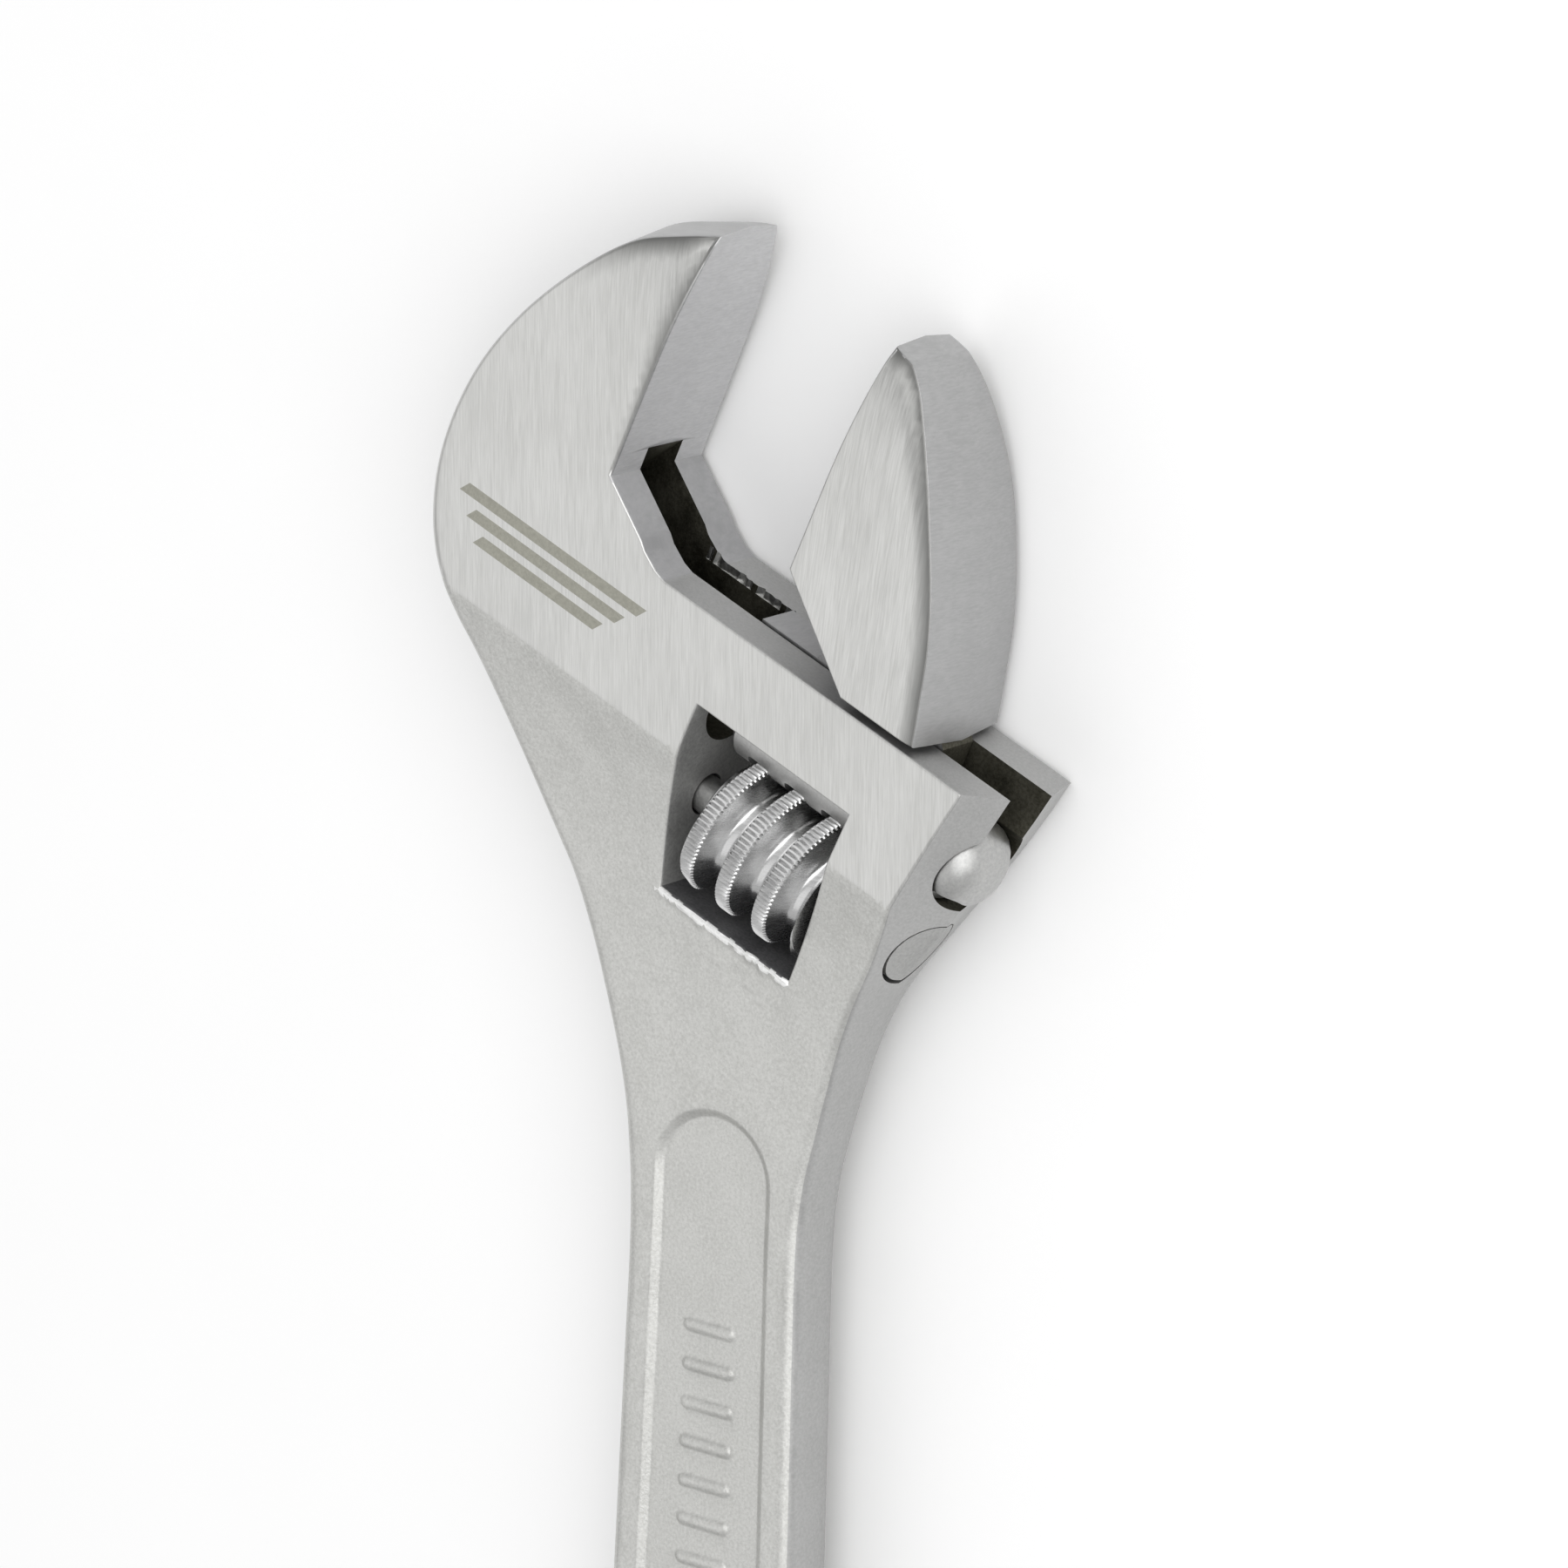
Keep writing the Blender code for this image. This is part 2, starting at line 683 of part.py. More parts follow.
def build_worm(frame, look):
    """The worm turns about its own axis. Its thread is cut off square at both end faces."""
    holder = bpy.data.objects.new("worm_axis", None)
    bpy.context.scene.collection.objects.link(holder)
    holder.parent = frame
    bore = [
        (WORM_END, PIN_RADIUS + GAP),
        (COUNTERBORE_END, PIN_RADIUS + GAP),
        (COUNTERBORE_END, COUNTERBORE_RADIUS),
        (WORM_START, COUNTERBORE_RADIUS),
    ]
    root = [(WORM_END, WORM_ROOT)] + bore + [(WORM_START, WORM_ROOT)]
    worm = object_from(turned(root + root[:1], WORM_Y, TURN_STEPS), "worm", holder)
    first = (WORM_START - THREAD_BASE - THREAD_FIRST) / PITCH
    last = (WORM_END + THREAD_BASE - THREAD_FIRST) / PITCH
    boolean(worm, object_from(thread_ribbon(first, last), "worm_thread", holder), "UNION")
    envelope = bore + [
        (WORM_START, WORM_RADIUS - WORM_CHAMFER),
        (WORM_START + WORM_CHAMFER, WORM_RADIUS + GAP),
        (WORM_END - WORM_CHAMFER, WORM_RADIUS + GAP),
        (WORM_END, WORM_RADIUS - WORM_CHAMFER),
    ]
    cut = object_from(turned(envelope + envelope[:1], WORM_Y, TURN_STEPS), "worm_envelope", holder)
    boolean(worm, cut, "INTERSECT")
    finish_node(worm, look)
    return worm


def build_pin(frame, look):
    pin = object_from(
        turned(
            [
                (PIN_START, PIN_RADIUS - PIN_CHAMFER),
                (PIN_START + PIN_CHAMFER, PIN_RADIUS),
                (PIN_HEAD_START, PIN_RADIUS),
                (PIN_HEAD_START, PIN_HEAD_RADIUS),
                (REACH, PIN_HEAD_RADIUS),
            ],
            WORM_Y,
        ),
        "worm_pin", frame,
    )
    flush = object_from(
        forged_blank(body_outline(OUTLINE_STEP), body_height), "pin_flush", frame
    )
    boolean(pin, flush, "INTERSECT")
    finish_node(pin, look)
    return pin


def build_spring(frame, look):
    """A short coil round the pin, between the window's wall and the worm's counterbore."""
    count = round(SPRING_TURNS * WIRE_STEPS)
    first = SPRING_START + SPRING_WIRE / 2
    last = COUNTERBORE_END - GAP - SPRING_WIRE / 2
    bm = bmesh.new()
    rings = []
    for index in range(count + 1):
        turn = 2 * math.pi * index / WIRE_STEPS
        x = first + (last - first) * ease(index / count)
        ring = []
        for side in range(WIRE_SIDES):
            angle = 2 * math.pi * side / WIRE_SIDES
            radius = SPRING_RADIUS + SPRING_WIRE / 2 * math.sin(angle)
            ring.append(bm.verts.new((
                x + SPRING_WIRE / 2 * math.cos(angle),
                WORM_Y + radius * math.cos(turn),
                radius * math.sin(turn),
            )))
        rings.append(ring)
    for lower, upper in zip(rings, rings[1:]):
        join_rings(bm, lower, upper)
    bm.faces.new(rings[0])
    bm.faces.new(rings[-1])
    spring = object_from(bm, "worm_spring", frame)
    finish_node(spring, look, 60)
    return spring


def main():
    clear_scene()
    frame = bpy.data.objects.new("jaw_frame", None)
    bpy.context.scene.collection.objects.link(frame)
    origin = handle_point(ORIGIN_ALONG, 0)
    frame.matrix_world = (
        Matrix.Translation((0, 0, HALF * MM))
        @ Matrix.Rotation(-(math.pi / 2 + HANDLE_ANGLE), 4, "Z")
        @ Matrix.Translation((-origin.x * MM, -origin.y * MM, 0))
    )
    build_body(frame, material("forged_chrome", (0.62, 0.62, 0.60), 0.38))
    build_movable_jaw(frame, material("brushed_chrome", (0.64, 0.64, 0.62), 0.34))
    build_worm(frame, material("bright_chrome", (0.70, 0.70, 0.70), 0.16))
    build_pin(frame, material("pin_steel", (0.48, 0.48, 0.47), 0.36))
    build_spring(frame, material("spring_steel", (0.30, 0.30, 0.30), 0.42))


main()
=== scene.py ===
"""Adjustable wrench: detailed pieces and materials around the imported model.

Lengths are millimetres in the jaw frame, which the record's joints and mounts give. X is the direction in
which the movable jaw opens, Y runs up the jaws and Z is the thickness, with its zero in the middle. Each
piece is modelled in the jaw frame and then turned into the world's axes.
"""

import json
import math

import bmesh
import bpy
import numpy as np
from mathutils import Matrix, Vector, noise
from mathutils.geometry import delaunay_2d_cdt


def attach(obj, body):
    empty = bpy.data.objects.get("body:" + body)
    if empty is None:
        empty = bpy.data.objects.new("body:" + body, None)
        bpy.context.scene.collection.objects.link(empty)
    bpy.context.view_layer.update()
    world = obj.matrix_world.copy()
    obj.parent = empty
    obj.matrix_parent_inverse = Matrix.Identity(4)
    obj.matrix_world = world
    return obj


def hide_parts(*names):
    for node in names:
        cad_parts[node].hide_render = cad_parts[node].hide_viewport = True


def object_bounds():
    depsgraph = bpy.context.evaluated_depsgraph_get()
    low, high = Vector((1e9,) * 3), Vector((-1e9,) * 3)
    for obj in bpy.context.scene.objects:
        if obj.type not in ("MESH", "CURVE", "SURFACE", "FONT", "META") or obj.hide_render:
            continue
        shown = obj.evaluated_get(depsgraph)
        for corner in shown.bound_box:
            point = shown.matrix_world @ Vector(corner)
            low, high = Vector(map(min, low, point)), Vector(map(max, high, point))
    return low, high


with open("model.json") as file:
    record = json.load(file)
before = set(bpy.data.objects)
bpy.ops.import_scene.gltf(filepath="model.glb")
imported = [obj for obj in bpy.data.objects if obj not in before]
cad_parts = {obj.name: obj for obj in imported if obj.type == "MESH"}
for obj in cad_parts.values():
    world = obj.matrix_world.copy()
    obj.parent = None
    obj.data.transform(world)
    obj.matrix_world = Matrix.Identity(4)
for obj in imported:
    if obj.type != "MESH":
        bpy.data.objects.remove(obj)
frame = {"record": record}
CAD_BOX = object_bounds()

MM = 0.001
MOUNTS = {mount["name"]: mount for mount in frame["record"]["mounts"]}
JOINTS = {joint["name"]: joint for joint in frame["record"]["behaviour"]["joints"]}

# ---------------------------------------------------------------- the jaw frame

FACE_MOUNT_Y = 20.0         # the jaw mounts stand this far up the jaws
SLIDE_AXIS = Vector(JOINTS["jaw_slide"]["axis"])
UP_THE_JAWS = Vector((0, 0, 1)).cross(SLIDE_AXIS)
FIXED_FACE = Vector(MOUNTS["fixed_jaw_face"]["pos_m"])
MOVABLE_FACE = Vector(MOUNTS["movable_jaw_face"]["pos_m"])
JAW_ORIGIN = FIXED_FACE - UP_THE_JAWS * FACE_MOUNT_Y * MM
JAW_TO_WORLD = Matrix((
    (SLIDE_AXIS.x, UP_THE_JAWS.x, 0, JAW_ORIGIN.x),
    (SLIDE_AXIS.y, UP_THE_JAWS.y, 0, JAW_ORIGIN.y),
    (0, 0, 1, JAW_ORIGIN.z),
    (0, 0, 0, 1),
))
JAW_OPENING = (MOVABLE_FACE - FIXED_FACE).dot(SLIDE_AXIS) / MM
WORM_AXIS_POINT = Vector(JOINTS["worm_spin"]["pos_m"]) - JAW_ORIGIN
WORM_Y = WORM_AXIS_POINT.dot(UP_THE_JAWS) / MM
HALF = MOUNTS["head_upper_face"]["pos_m"][2] / MM / 2

# ---------------------------------------------------------------- sizes

GAP = 0.3
REACH = 64.0
FACE_FOOT = 6.1
JAW_TIP = 34.2
TIP_THICKNESS = 10.4
TIP_TAPER = 15.0
FACET_RUN = 10.2
GROUND_EDGE = -15.3
SIDE_DRAFT = 0.12
EDGE_RADIUS = 1.5
CRISP = 0.28                # radius of a machined edge
WORN = 0.45                 # radius of an edge that is worn or deburred
EDGE_SHADE_WIDTH = 1.8          # of the painted shade strip beside an edge that the grinding has rounded over; the darker colour stands in for a dark reflection
EDGE_SHADE_START = 1.1          # the face's edge, in from the forged rim, where the painted shade starts to fade
EDGE_SHADE_TONE = 0.42                 # the painted shade strip's tone, as a share of the ground face's

HANDLE_ANGLE = math.radians(22.5)
HANDLE_OFFSET = 15.2
HANDLE_END = 220.95
HANDLE_HALF = 3.9
HANDLE_HALF_START = 11.3
HANDLE_HALF_END = 13.7
HANDLE_START = 74.0
NECK_LENGTH = 32.0
NECK_FALL = 2.4
RECESS_START = 59.0
RECESS_END = 192.0
RECESS_RIM = 3.7
RECESS_DEPTH = 0.8
RECESS_WALL = 1.3
HOLE_RADIUS = 4.8
HOLE_FROM_END = 12.5

SLOT_HALF = 2.9
SLOT_TOP = 8.7
SLOT_END = -3.9
SLOT_RAMP = 4.0
BORE_RADIUS = 5.1
BORE_Y = -10.0
SLIDE_RADIUS = BORE_RADIUS - GAP
JAW_FOOT = 0.75
JAW_FOOT_START = 10.9
JAW_FOOT_WIDTH = 21.4
JAW_INNER_CORNER = 9.2
NECK_START = -3.4
NECK_TOP = 0.2
NECK_SINK = 4.0
RACK_START = -1.0
RACK_END = 30.9

PITCH = 5.0
WORM_RADIUS = 8.44
WORM_ROOT = 5.8
WORM_START = 23.2
WORM_END = 38.7
THREAD_FIRST = 25.0
CREST_WIDTH = 1.7
THREAD_BASE = 3.3
BACKLASH = 0.5
SERRATIONS = 92             # across the thread's crest, in one turn
SERRATION = (0.0, 0.7, 1.0)     # the serration's height over one tooth
SERRATION_DEPTH = 0.3
GROOVE_STEPS = 8
WORM_CHAMFER = 0.9
WINDOW_TOP = -9.4
WINDOW_BOTTOM = -30.7
WINDOW_LEFT_TOP = 19.2
WINDOW_LEFT_BOTTOM = 21.5
WINDOW_RIGHT_TOP = 39.7
WINDOW_RIGHT_BOTTOM = 39.1
WINDOW_BULGE = 0.8

PIN_RADIUS = 2.0
PIN_START = 15.0
PIN_HEAD_RADIUS = 4.0
PIN_HEAD_START = 43.6
SEAT_SHIFT = 0.18           # the pin's head sits off the middle of its seat
SPRING_WIRE = 0.8
SPRING_RADIUS = 3.1
SPRING_TURNS = 4.0
SPRING_START = 21.9
COUNTERBORE_RADIUS = 4.2
COUNTERBORE_END = 28.2

# Fineness
OUTLINE_STEP = 0.8
HEAD_GRID = 1.0
WORN_GRID = 0.45
HANDLE_GRID = 2.4
ROUND_STEPS = 4
CIRCLE_STEPS = 96

ALONG = np.array((math.sin(HANDLE_ANGLE), -math.cos(HANDLE_ANGLE)))
ACROSS = np.array((math.cos(HANDLE_ANGLE), math.sin(HANDLE_ANGLE)))

# ---------------------------------------------------------------- plan helpers


def ease(value):
    value = np.clip(value, 0.0, 1.0)
    return value * value * (3 - 2 * value)


def handle_point(along, across):
    return tuple(ALONG * along + ACROSS * (HANDLE_OFFSET + across))


def handle_coordinates(x, y):
    return x * ALONG[0] + y * ALONG[1], x * ACROSS[0] + y * ACROSS[1] - HANDLE_OFFSET


def handle_half_width(along):
    share = np.clip((along - HANDLE_START) / (HANDLE_END - HANDLE_START), 0.0, 1.0)
    return HANDLE_HALF_START + (HANDLE_HALF_END - HANDLE_HALF_START) * share


def spline(points, step):
    """Catmull-Rom curve through tuples, without the two end spans."""
    curve = []
    for before, start, end, after in zip(points, points[1:], points[2:], points[3:]):
        b, s, e, a = (np.array(p, float) for p in (before, start, end, after))
        count = max(1, round(float(np.hypot(*(e - s)[:2])) / step))
        for index in range(count):
            t = index / count
            curve.append(tuple(0.5 * (
                2 * s + (e - b) * t + (2 * b - 5 * s + 4 * e - a) * t * t
                + (3 * s - b - 3 * e + a) * t ** 3
            )))
    curve.append(tuple(points[-2]))
    return curve


def straight(start, end, edge, step=OUTLINE_STEP):
    """Points from start to end, each with the same edge (slope above, slope below, radius)."""
    count = max(1, round(math.hypot(end[0] - start[0], end[1] - start[1]) / step))
    chain = [
        (
            start[0] + (end[0] - start[0]) * index / count,
            start[1] + (end[1] - start[1]) * index / count,
            *edge,
        )
        for index in range(count + 1)
    ]
    return tied(chain, math.inf)


def tied(chain, reach):
    """The chain with a sixth number for the points within reach of its ends.

    It is the point's share of the way between the two free points around it, and keeps the points in
    order where a corner is offset.
    """
    places = np.array([p[:2] for p in chain])
    along = np.concatenate([[0.0], np.cumsum(np.hypot(*np.diff(places, axis=0).T))])
    total = along[-1]
    if reach > total / 2:
        return [(*p[:5], share) for p, share in zip(chain, along / total)]
    first = int(np.argmax(along >= reach))
    last = len(chain) - 1 - int(np.argmax((total - along)[::-1] >= reach))
    result = []
    for index, point in enumerate(chain):
        if index < first:
            result.append((*point[:5], along[index] / along[first]))
        elif index > last:
            result.append((*point[:5], (along[index] - along[last]) / (total - along[last])))
        else:
            result.append(tuple(point[:5]))
    return result


def chained(*chains):
    """A closed outline: (x, y, edge before, edge after, share) for each point. Chains meet at their ends."""
    outline = []
    for index, chain in enumerate(chains):
        first = chain[0]
        outline.append((first[0], first[1], chains[index - 1][-1][2:5], first[2:5], math.nan))
        for point in chain[1:-1]:
            share = point[5] if len(point) > 5 else math.nan
            outline.append((point[0], point[1], point[2:5], point[2:5], share))
    return outline


def cut_chain(chain, keep):
    """The chain's stretch whose points satisfy keep, ended exactly where keep's value passes zero."""
    kept = []
    for start, end in zip(chain, chain[1:]):
        a, b = keep(start), keep(end)
        if a >= 0 and not kept:
            kept.append(start)
        if a * b < 0:
            share = a / (a - b)
            kept.append(tuple(s + (e - s) * share for s, e in zip(start, end)))
        if b >= 0:
            kept.append(end)
    return kept


def inside(points, loop):
    """Which of the points are inside the loop, for arrays of places."""
    odd = np.zeros(len(points), bool)
    ends = np.roll(loop, -1, axis=0)
    for (x0, y0), (x1, y1) in zip(loop, ends):
        if y0 == y1:
            continue
        crosses = (y0 > points[:, 1]) != (y1 > points[:, 1])
        at = x0 + (points[:, 1] - y0) * (x1 - x0) / (y1 - y0)
        odd ^= crosses & (points[:, 0] < at)
    return odd


def distance(points, line, closed=True):
    """How far each point is from a line of points."""
    least = np.full(len(points), np.inf)
    ends = np.roll(line, -1, axis=0) if closed else line[1:]
    for start, end in zip(line, ends):
        span = end - start
        length = max(float(span @ span), 1e-12)
        share = np.clip((points - start) @ span / length, 0.0, 1.0)
        least = np.minimum(least, np.hypot(*(points - start - share[:, None] * span).T))
    return least


# ---------------------------------------------------------------- slabs: forged or machined plates


def offset(outline, before, after):
    """The outline's points moved inwards, by one distance off the edge before and one off the edge after."""
    places = np.array([(p[0], p[1]) for p in outline])
    along = np.roll(places, -1, axis=0) - places
    along /= np.hypot(*along.T)[:, None]
    normal_after = np.stack([-along[:, 1], along[:, 0]], axis=1)
    normal_before = np.roll(normal_after, 1, axis=0)
    cross = normal_before[:, 0] * normal_after[:, 1] - normal_before[:, 1] * normal_after[:, 0]
    dot = (normal_before * normal_after).sum(axis=1)
    smooth = (
        normal_before * before[:, None] + normal_after * after[:, None]
    ) / (1 + dot)[:, None]
    safe = np.where(np.abs(cross) < 0.2, 1.0, cross)
    corner = np.stack([
        (before * normal_after[:, 1] - after * normal_before[:, 1]) / safe,
        (after * normal_before[:, 0] - before * normal_after[:, 0]) / safe,
    ], axis=1)
    moved = places + np.where(np.abs(cross)[:, None] < 0.2, smooth, corner)
    shares = np.array([p[4] for p in outline])
    free = np.nonzero(np.isnan(shares))[0]
    for start, end in zip(free, np.roll(free, -1)):
        between = np.arange(start + 1, end if end > start else len(outline))
        if len(between):
            moved[between] = moved[start] + (moved[end] - moved[start]) * shares[between, None]
    return moved


SKIN = 0.03                 # the fine surface stays this far inside the part's box


def side_rings(outline, height, side):
    """Rings from just above the middle to the face, as (places, heights)."""
    column = 0 if side > 0 else 1
    slope_before = np.array([p[2][column] for p in outline])
    slope_after = np.array([p[3][column] for p in outline])
    radius_before = np.array([p[2][2] for p in outline])
    radius_after = np.array([p[3][2] for p in outline])
    radius = (radius_before + radius_after) / 2

    def ring(full, rise, turn):
        out = 1 - math.cos(turn)
        return offset(
            outline,
            SKIN + slope_before * rise(full, radius_before) + radius_before * out,
            SKIN + slope_after * rise(full, radius_after) + radius_after * out,
        )

    def to_shoulder(full, r):
        return full - r

    def below_shoulder(full, r):
        return (full - r) * 0.9

    places = np.array([(p[0], p[1]) for p in outline])
    last = ring(height(places), to_shoulder, math.pi / 2)
    full = height(last)
    rings = [(ring(full, below_shoulder, 0.0), (full - radius) * 0.9)]
    for step in range(ROUND_STEPS + 1):
        turn = math.pi / 2 * step / ROUND_STEPS
        rings.append((ring(full, to_shoulder, turn), full - radius * (1 - math.sin(turn))))
    return rings


def slab(outer, holes, height, lines, grids):
    """A closed plate with holes. Its faces follow height, with triangle edges along lines.

    lines are arrays of places, with whether each is closed; grids are candidate places in the faces.
    """
    bm = bmesh.new()
    middles = [
        [bm.verts.new((x, y, 0)) for x, y in plan_of(outline, SKIN)] for outline in [outer] + holes
    ]
    for side in (1, -1):
        rims = []
        for outline, middle in zip([outer] + holes, middles):
            lower = middle
            for places, heights in side_rings(outline, height, side):
                upper = [
                    bm.verts.new((x, y, side * z)) for (x, y), z in zip(places, heights)
                ]
                join_rings(bm, lower, upper)
                lower = upper
            rims.append((places, lower))
        face_sheet(bm, rims, height, lines, grids, side)
    return bm


def join_rings(bm, lower, upper):
    count = len(lower)
    for index in range(count):
        after = (index + 1) % count
        bm.faces.new((lower[index], lower[after], upper[after], upper[index]))


def face_sheet(bm, rims, height, lines, grids, side):
    loops = [places for places, _ in rims]
    points = [place for places in loops for place in places]
    known = [vert for _, verts in rims for vert in verts]
    edges = []
    first = 0
    for places in loops:
        count = len(places)
        edges += [(first + index, first + (index + 1) % count) for index in range(count)]
        first += count
    rim_line = [np.array(places) for places in loops]
    for line, closed in lines:
        line = np.array(line)
        count = len(line)
        edges += [(first + i, first + (i + 1) % count) for i in range(count if closed else count - 1)]
        points += list(line)
        first += count
    taken = []
    for grid, spacing in grids:
        free = inside(grid, rim_line[0])
        for hole in rim_line[1:]:
            free &= ~inside(grid, hole)
        grid = grid[free]
        for line in rim_line:
            grid = grid[distance(grid, line) > 0.45 * spacing]
        for line, closed in lines:
            grid = grid[distance(grid, np.array(line), closed) > 0.4 * spacing]
        for low, high in taken:
            grid = grid[~((grid > low) & (grid < high)).all(axis=1)]
        taken.append((grid.min(axis=0), grid.max(axis=0)))
        points += list(grid)
    found = delaunay_2d_cdt([Vector(p) for p in points], edges, [], 1, 1e-7)
    places = np.array([tuple(p) for p in found[0]])
    heights = height(places)
    verts = []
    for place, z, origins in zip(places, heights, found[3]):
        rim = [origin for origin in origins if origin < len(known)]
        if rim:
            verts.append(known[rim[0]])
        else:
            verts.append(bm.verts.new((place[0], place[1], side * z)))
    faces = np.array(found[2])
    centres = places[faces].mean(axis=1)
    keep = np.ones(len(faces), bool)
    for hole in rim_line[1:]:
        keep &= ~inside(centres, hole)
    for corners in faces[keep]:
        bm.faces.new([verts[corner] for corner in corners])


def square_grid(low, high, spacing):
    """Places in offset rows, which triangulate evenly."""
    rows = int((high[1] - low[1]) / (spacing * 0.866))
    columns = int((high[0] - low[0]) / spacing)
    row, column = np.mgrid[0:rows + 1, 0:columns + 1]
    return np.stack([
        low[0] + (column + 0.5 * (row % 2)) * spacing,
        low[1] + row * spacing * 0.866,
    ], axis=-1).reshape(-1, 2)


# ---------------------------------------------------------------- solids and objects


def prism(corners, low, high):
    bm = bmesh.new()
    lower = [bm.verts.new((x, y, low)) for x, y in corners]
    upper = [bm.verts.new((x, y, high)) for x, y in corners]
    bm.faces.new(lower)
    bm.faces.new(upper)
    join_rings(bm, lower, upper)
    return bm


def turned(profile, centre_y, steps=CIRCLE_STEPS, closed=False):
    """A profile of (x, radius) points, turned about the line along X at centre_y."""
    bm = bmesh.new()
    rings = []
    for x, radius in profile:
        rings.append([
            bm.verts.new((
                x,
                centre_y + radius * math.cos(2 * math.pi * index / steps),
                radius * math.sin(2 * math.pi * index / steps),
            ))
            for index in range(steps)
        ])
    for lower, upper in zip(rings, rings[1:]):
        join_rings(bm, lower, upper)
    if closed:
        join_rings(bm, rings[-1], rings[0])
    else:
        bm.faces.new(rings[0])
        bm.faces.new(rings[-1])
    return bm


def object_from(bm, name, origin=(0.0, 0.0, 0.0)):
    """An object with its own origin at a place in the jaw frame, from a mesh in jaw-frame millimetres."""
    bmesh.ops.remove_doubles(bm, verts=bm.verts, dist=1e-4)
    bmesh.ops.recalc_face_normals(bm, faces=bm.faces)
    place = JAW_TO_WORLD @ (Vector(origin) * MM)
    bmesh.ops.transform(
        bm, matrix=Matrix.Translation(-place) @ JAW_TO_WORLD @ Matrix.Scale(MM, 4), verts=bm.verts
    )
    mesh = bpy.data.meshes.new(name)
    bm.to_mesh(mesh)
    bm.free()
    obj = bpy.data.objects.new(name, mesh)
    bpy.context.scene.collection.objects.link(obj)
    obj.location = place
    return obj


def combine(obj, steps):
    """Applies one exact Boolean for each (operation, other object) and removes the others."""
    for operation, other in steps:
        modifier = obj.modifiers.new("combine", "BOOLEAN")
        modifier.object = other
        modifier.operation = operation
        modifier.solver = "EXACT"
        bpy.context.view_layer.update()
        evaluated = obj.evaluated_get(bpy.context.evaluated_depsgraph_get())
        mesh = bpy.data.meshes.new_from_object(evaluated)
        obj.modifiers.clear()
        obj.data = mesh
        bpy.data.objects.remove(other)


def one_material(places, normals):
    return np.zeros(len(places))


def places_in_jaw_frame(elements, field, obj):
    """The elements' places, or centres, in jaw-frame millimetres."""
    found = np.empty(len(elements) * 3)
    elements.foreach_get(field, found)
    to_jaw = np.array(JAW_TO_WORLD.to_3x3().inverted())
    return (found.reshape(-1, 3) + np.array(obj.location) - np.array(JAW_ORIGIN)) @ to_jaw.T / MM


def finish_piece(obj, looks, choose, body, node, angle=32, edge_shade=None):
    """Gives each face one of the looks, smooths the piece and puts it in its CAD node's place.

    choose gives each face's index into looks, from its place and its normal. The last argument gives each
    place's painted shade, from 0 to 1, by how near it is to an edge that the grinding has rounded over.
    """
    mesh = obj.data
    # painted shade: how much each vertex's colour is darkened beside a rounded-over edge
    if edge_shade:
        places = places_in_jaw_frame(mesh.vertices, "co", obj)
        mesh.attributes.new("edge_shade", "FLOAT", "POINT").data.foreach_set("value", edge_shade(places[:, :2]))
    mesh.materials.clear()
    for name in looks:
        mesh.materials.append(LOOKS[name])
    normals = np.empty(len(mesh.polygons) * 3)
    mesh.polygons.foreach_get("normal", normals)
    to_jaw = np.array(JAW_TO_WORLD.to_3x3().inverted())
    places = places_in_jaw_frame(mesh.polygons, "center", obj)
    indices = choose(places, normals.reshape(-1, 3) @ to_jaw.T)
    mesh.polygons.foreach_set("material_index", np.asarray(indices, np.int32))
    mesh.shade_smooth()
    mesh.set_sharp_from_angle(angle=math.radians(angle))
    weighted = obj.modifiers.new("even_normals", "WEIGHTED_NORMAL")
    weighted.keep_sharp = True
    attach(obj, body)
    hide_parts(node)


# ---------------------------------------------------------------- materials


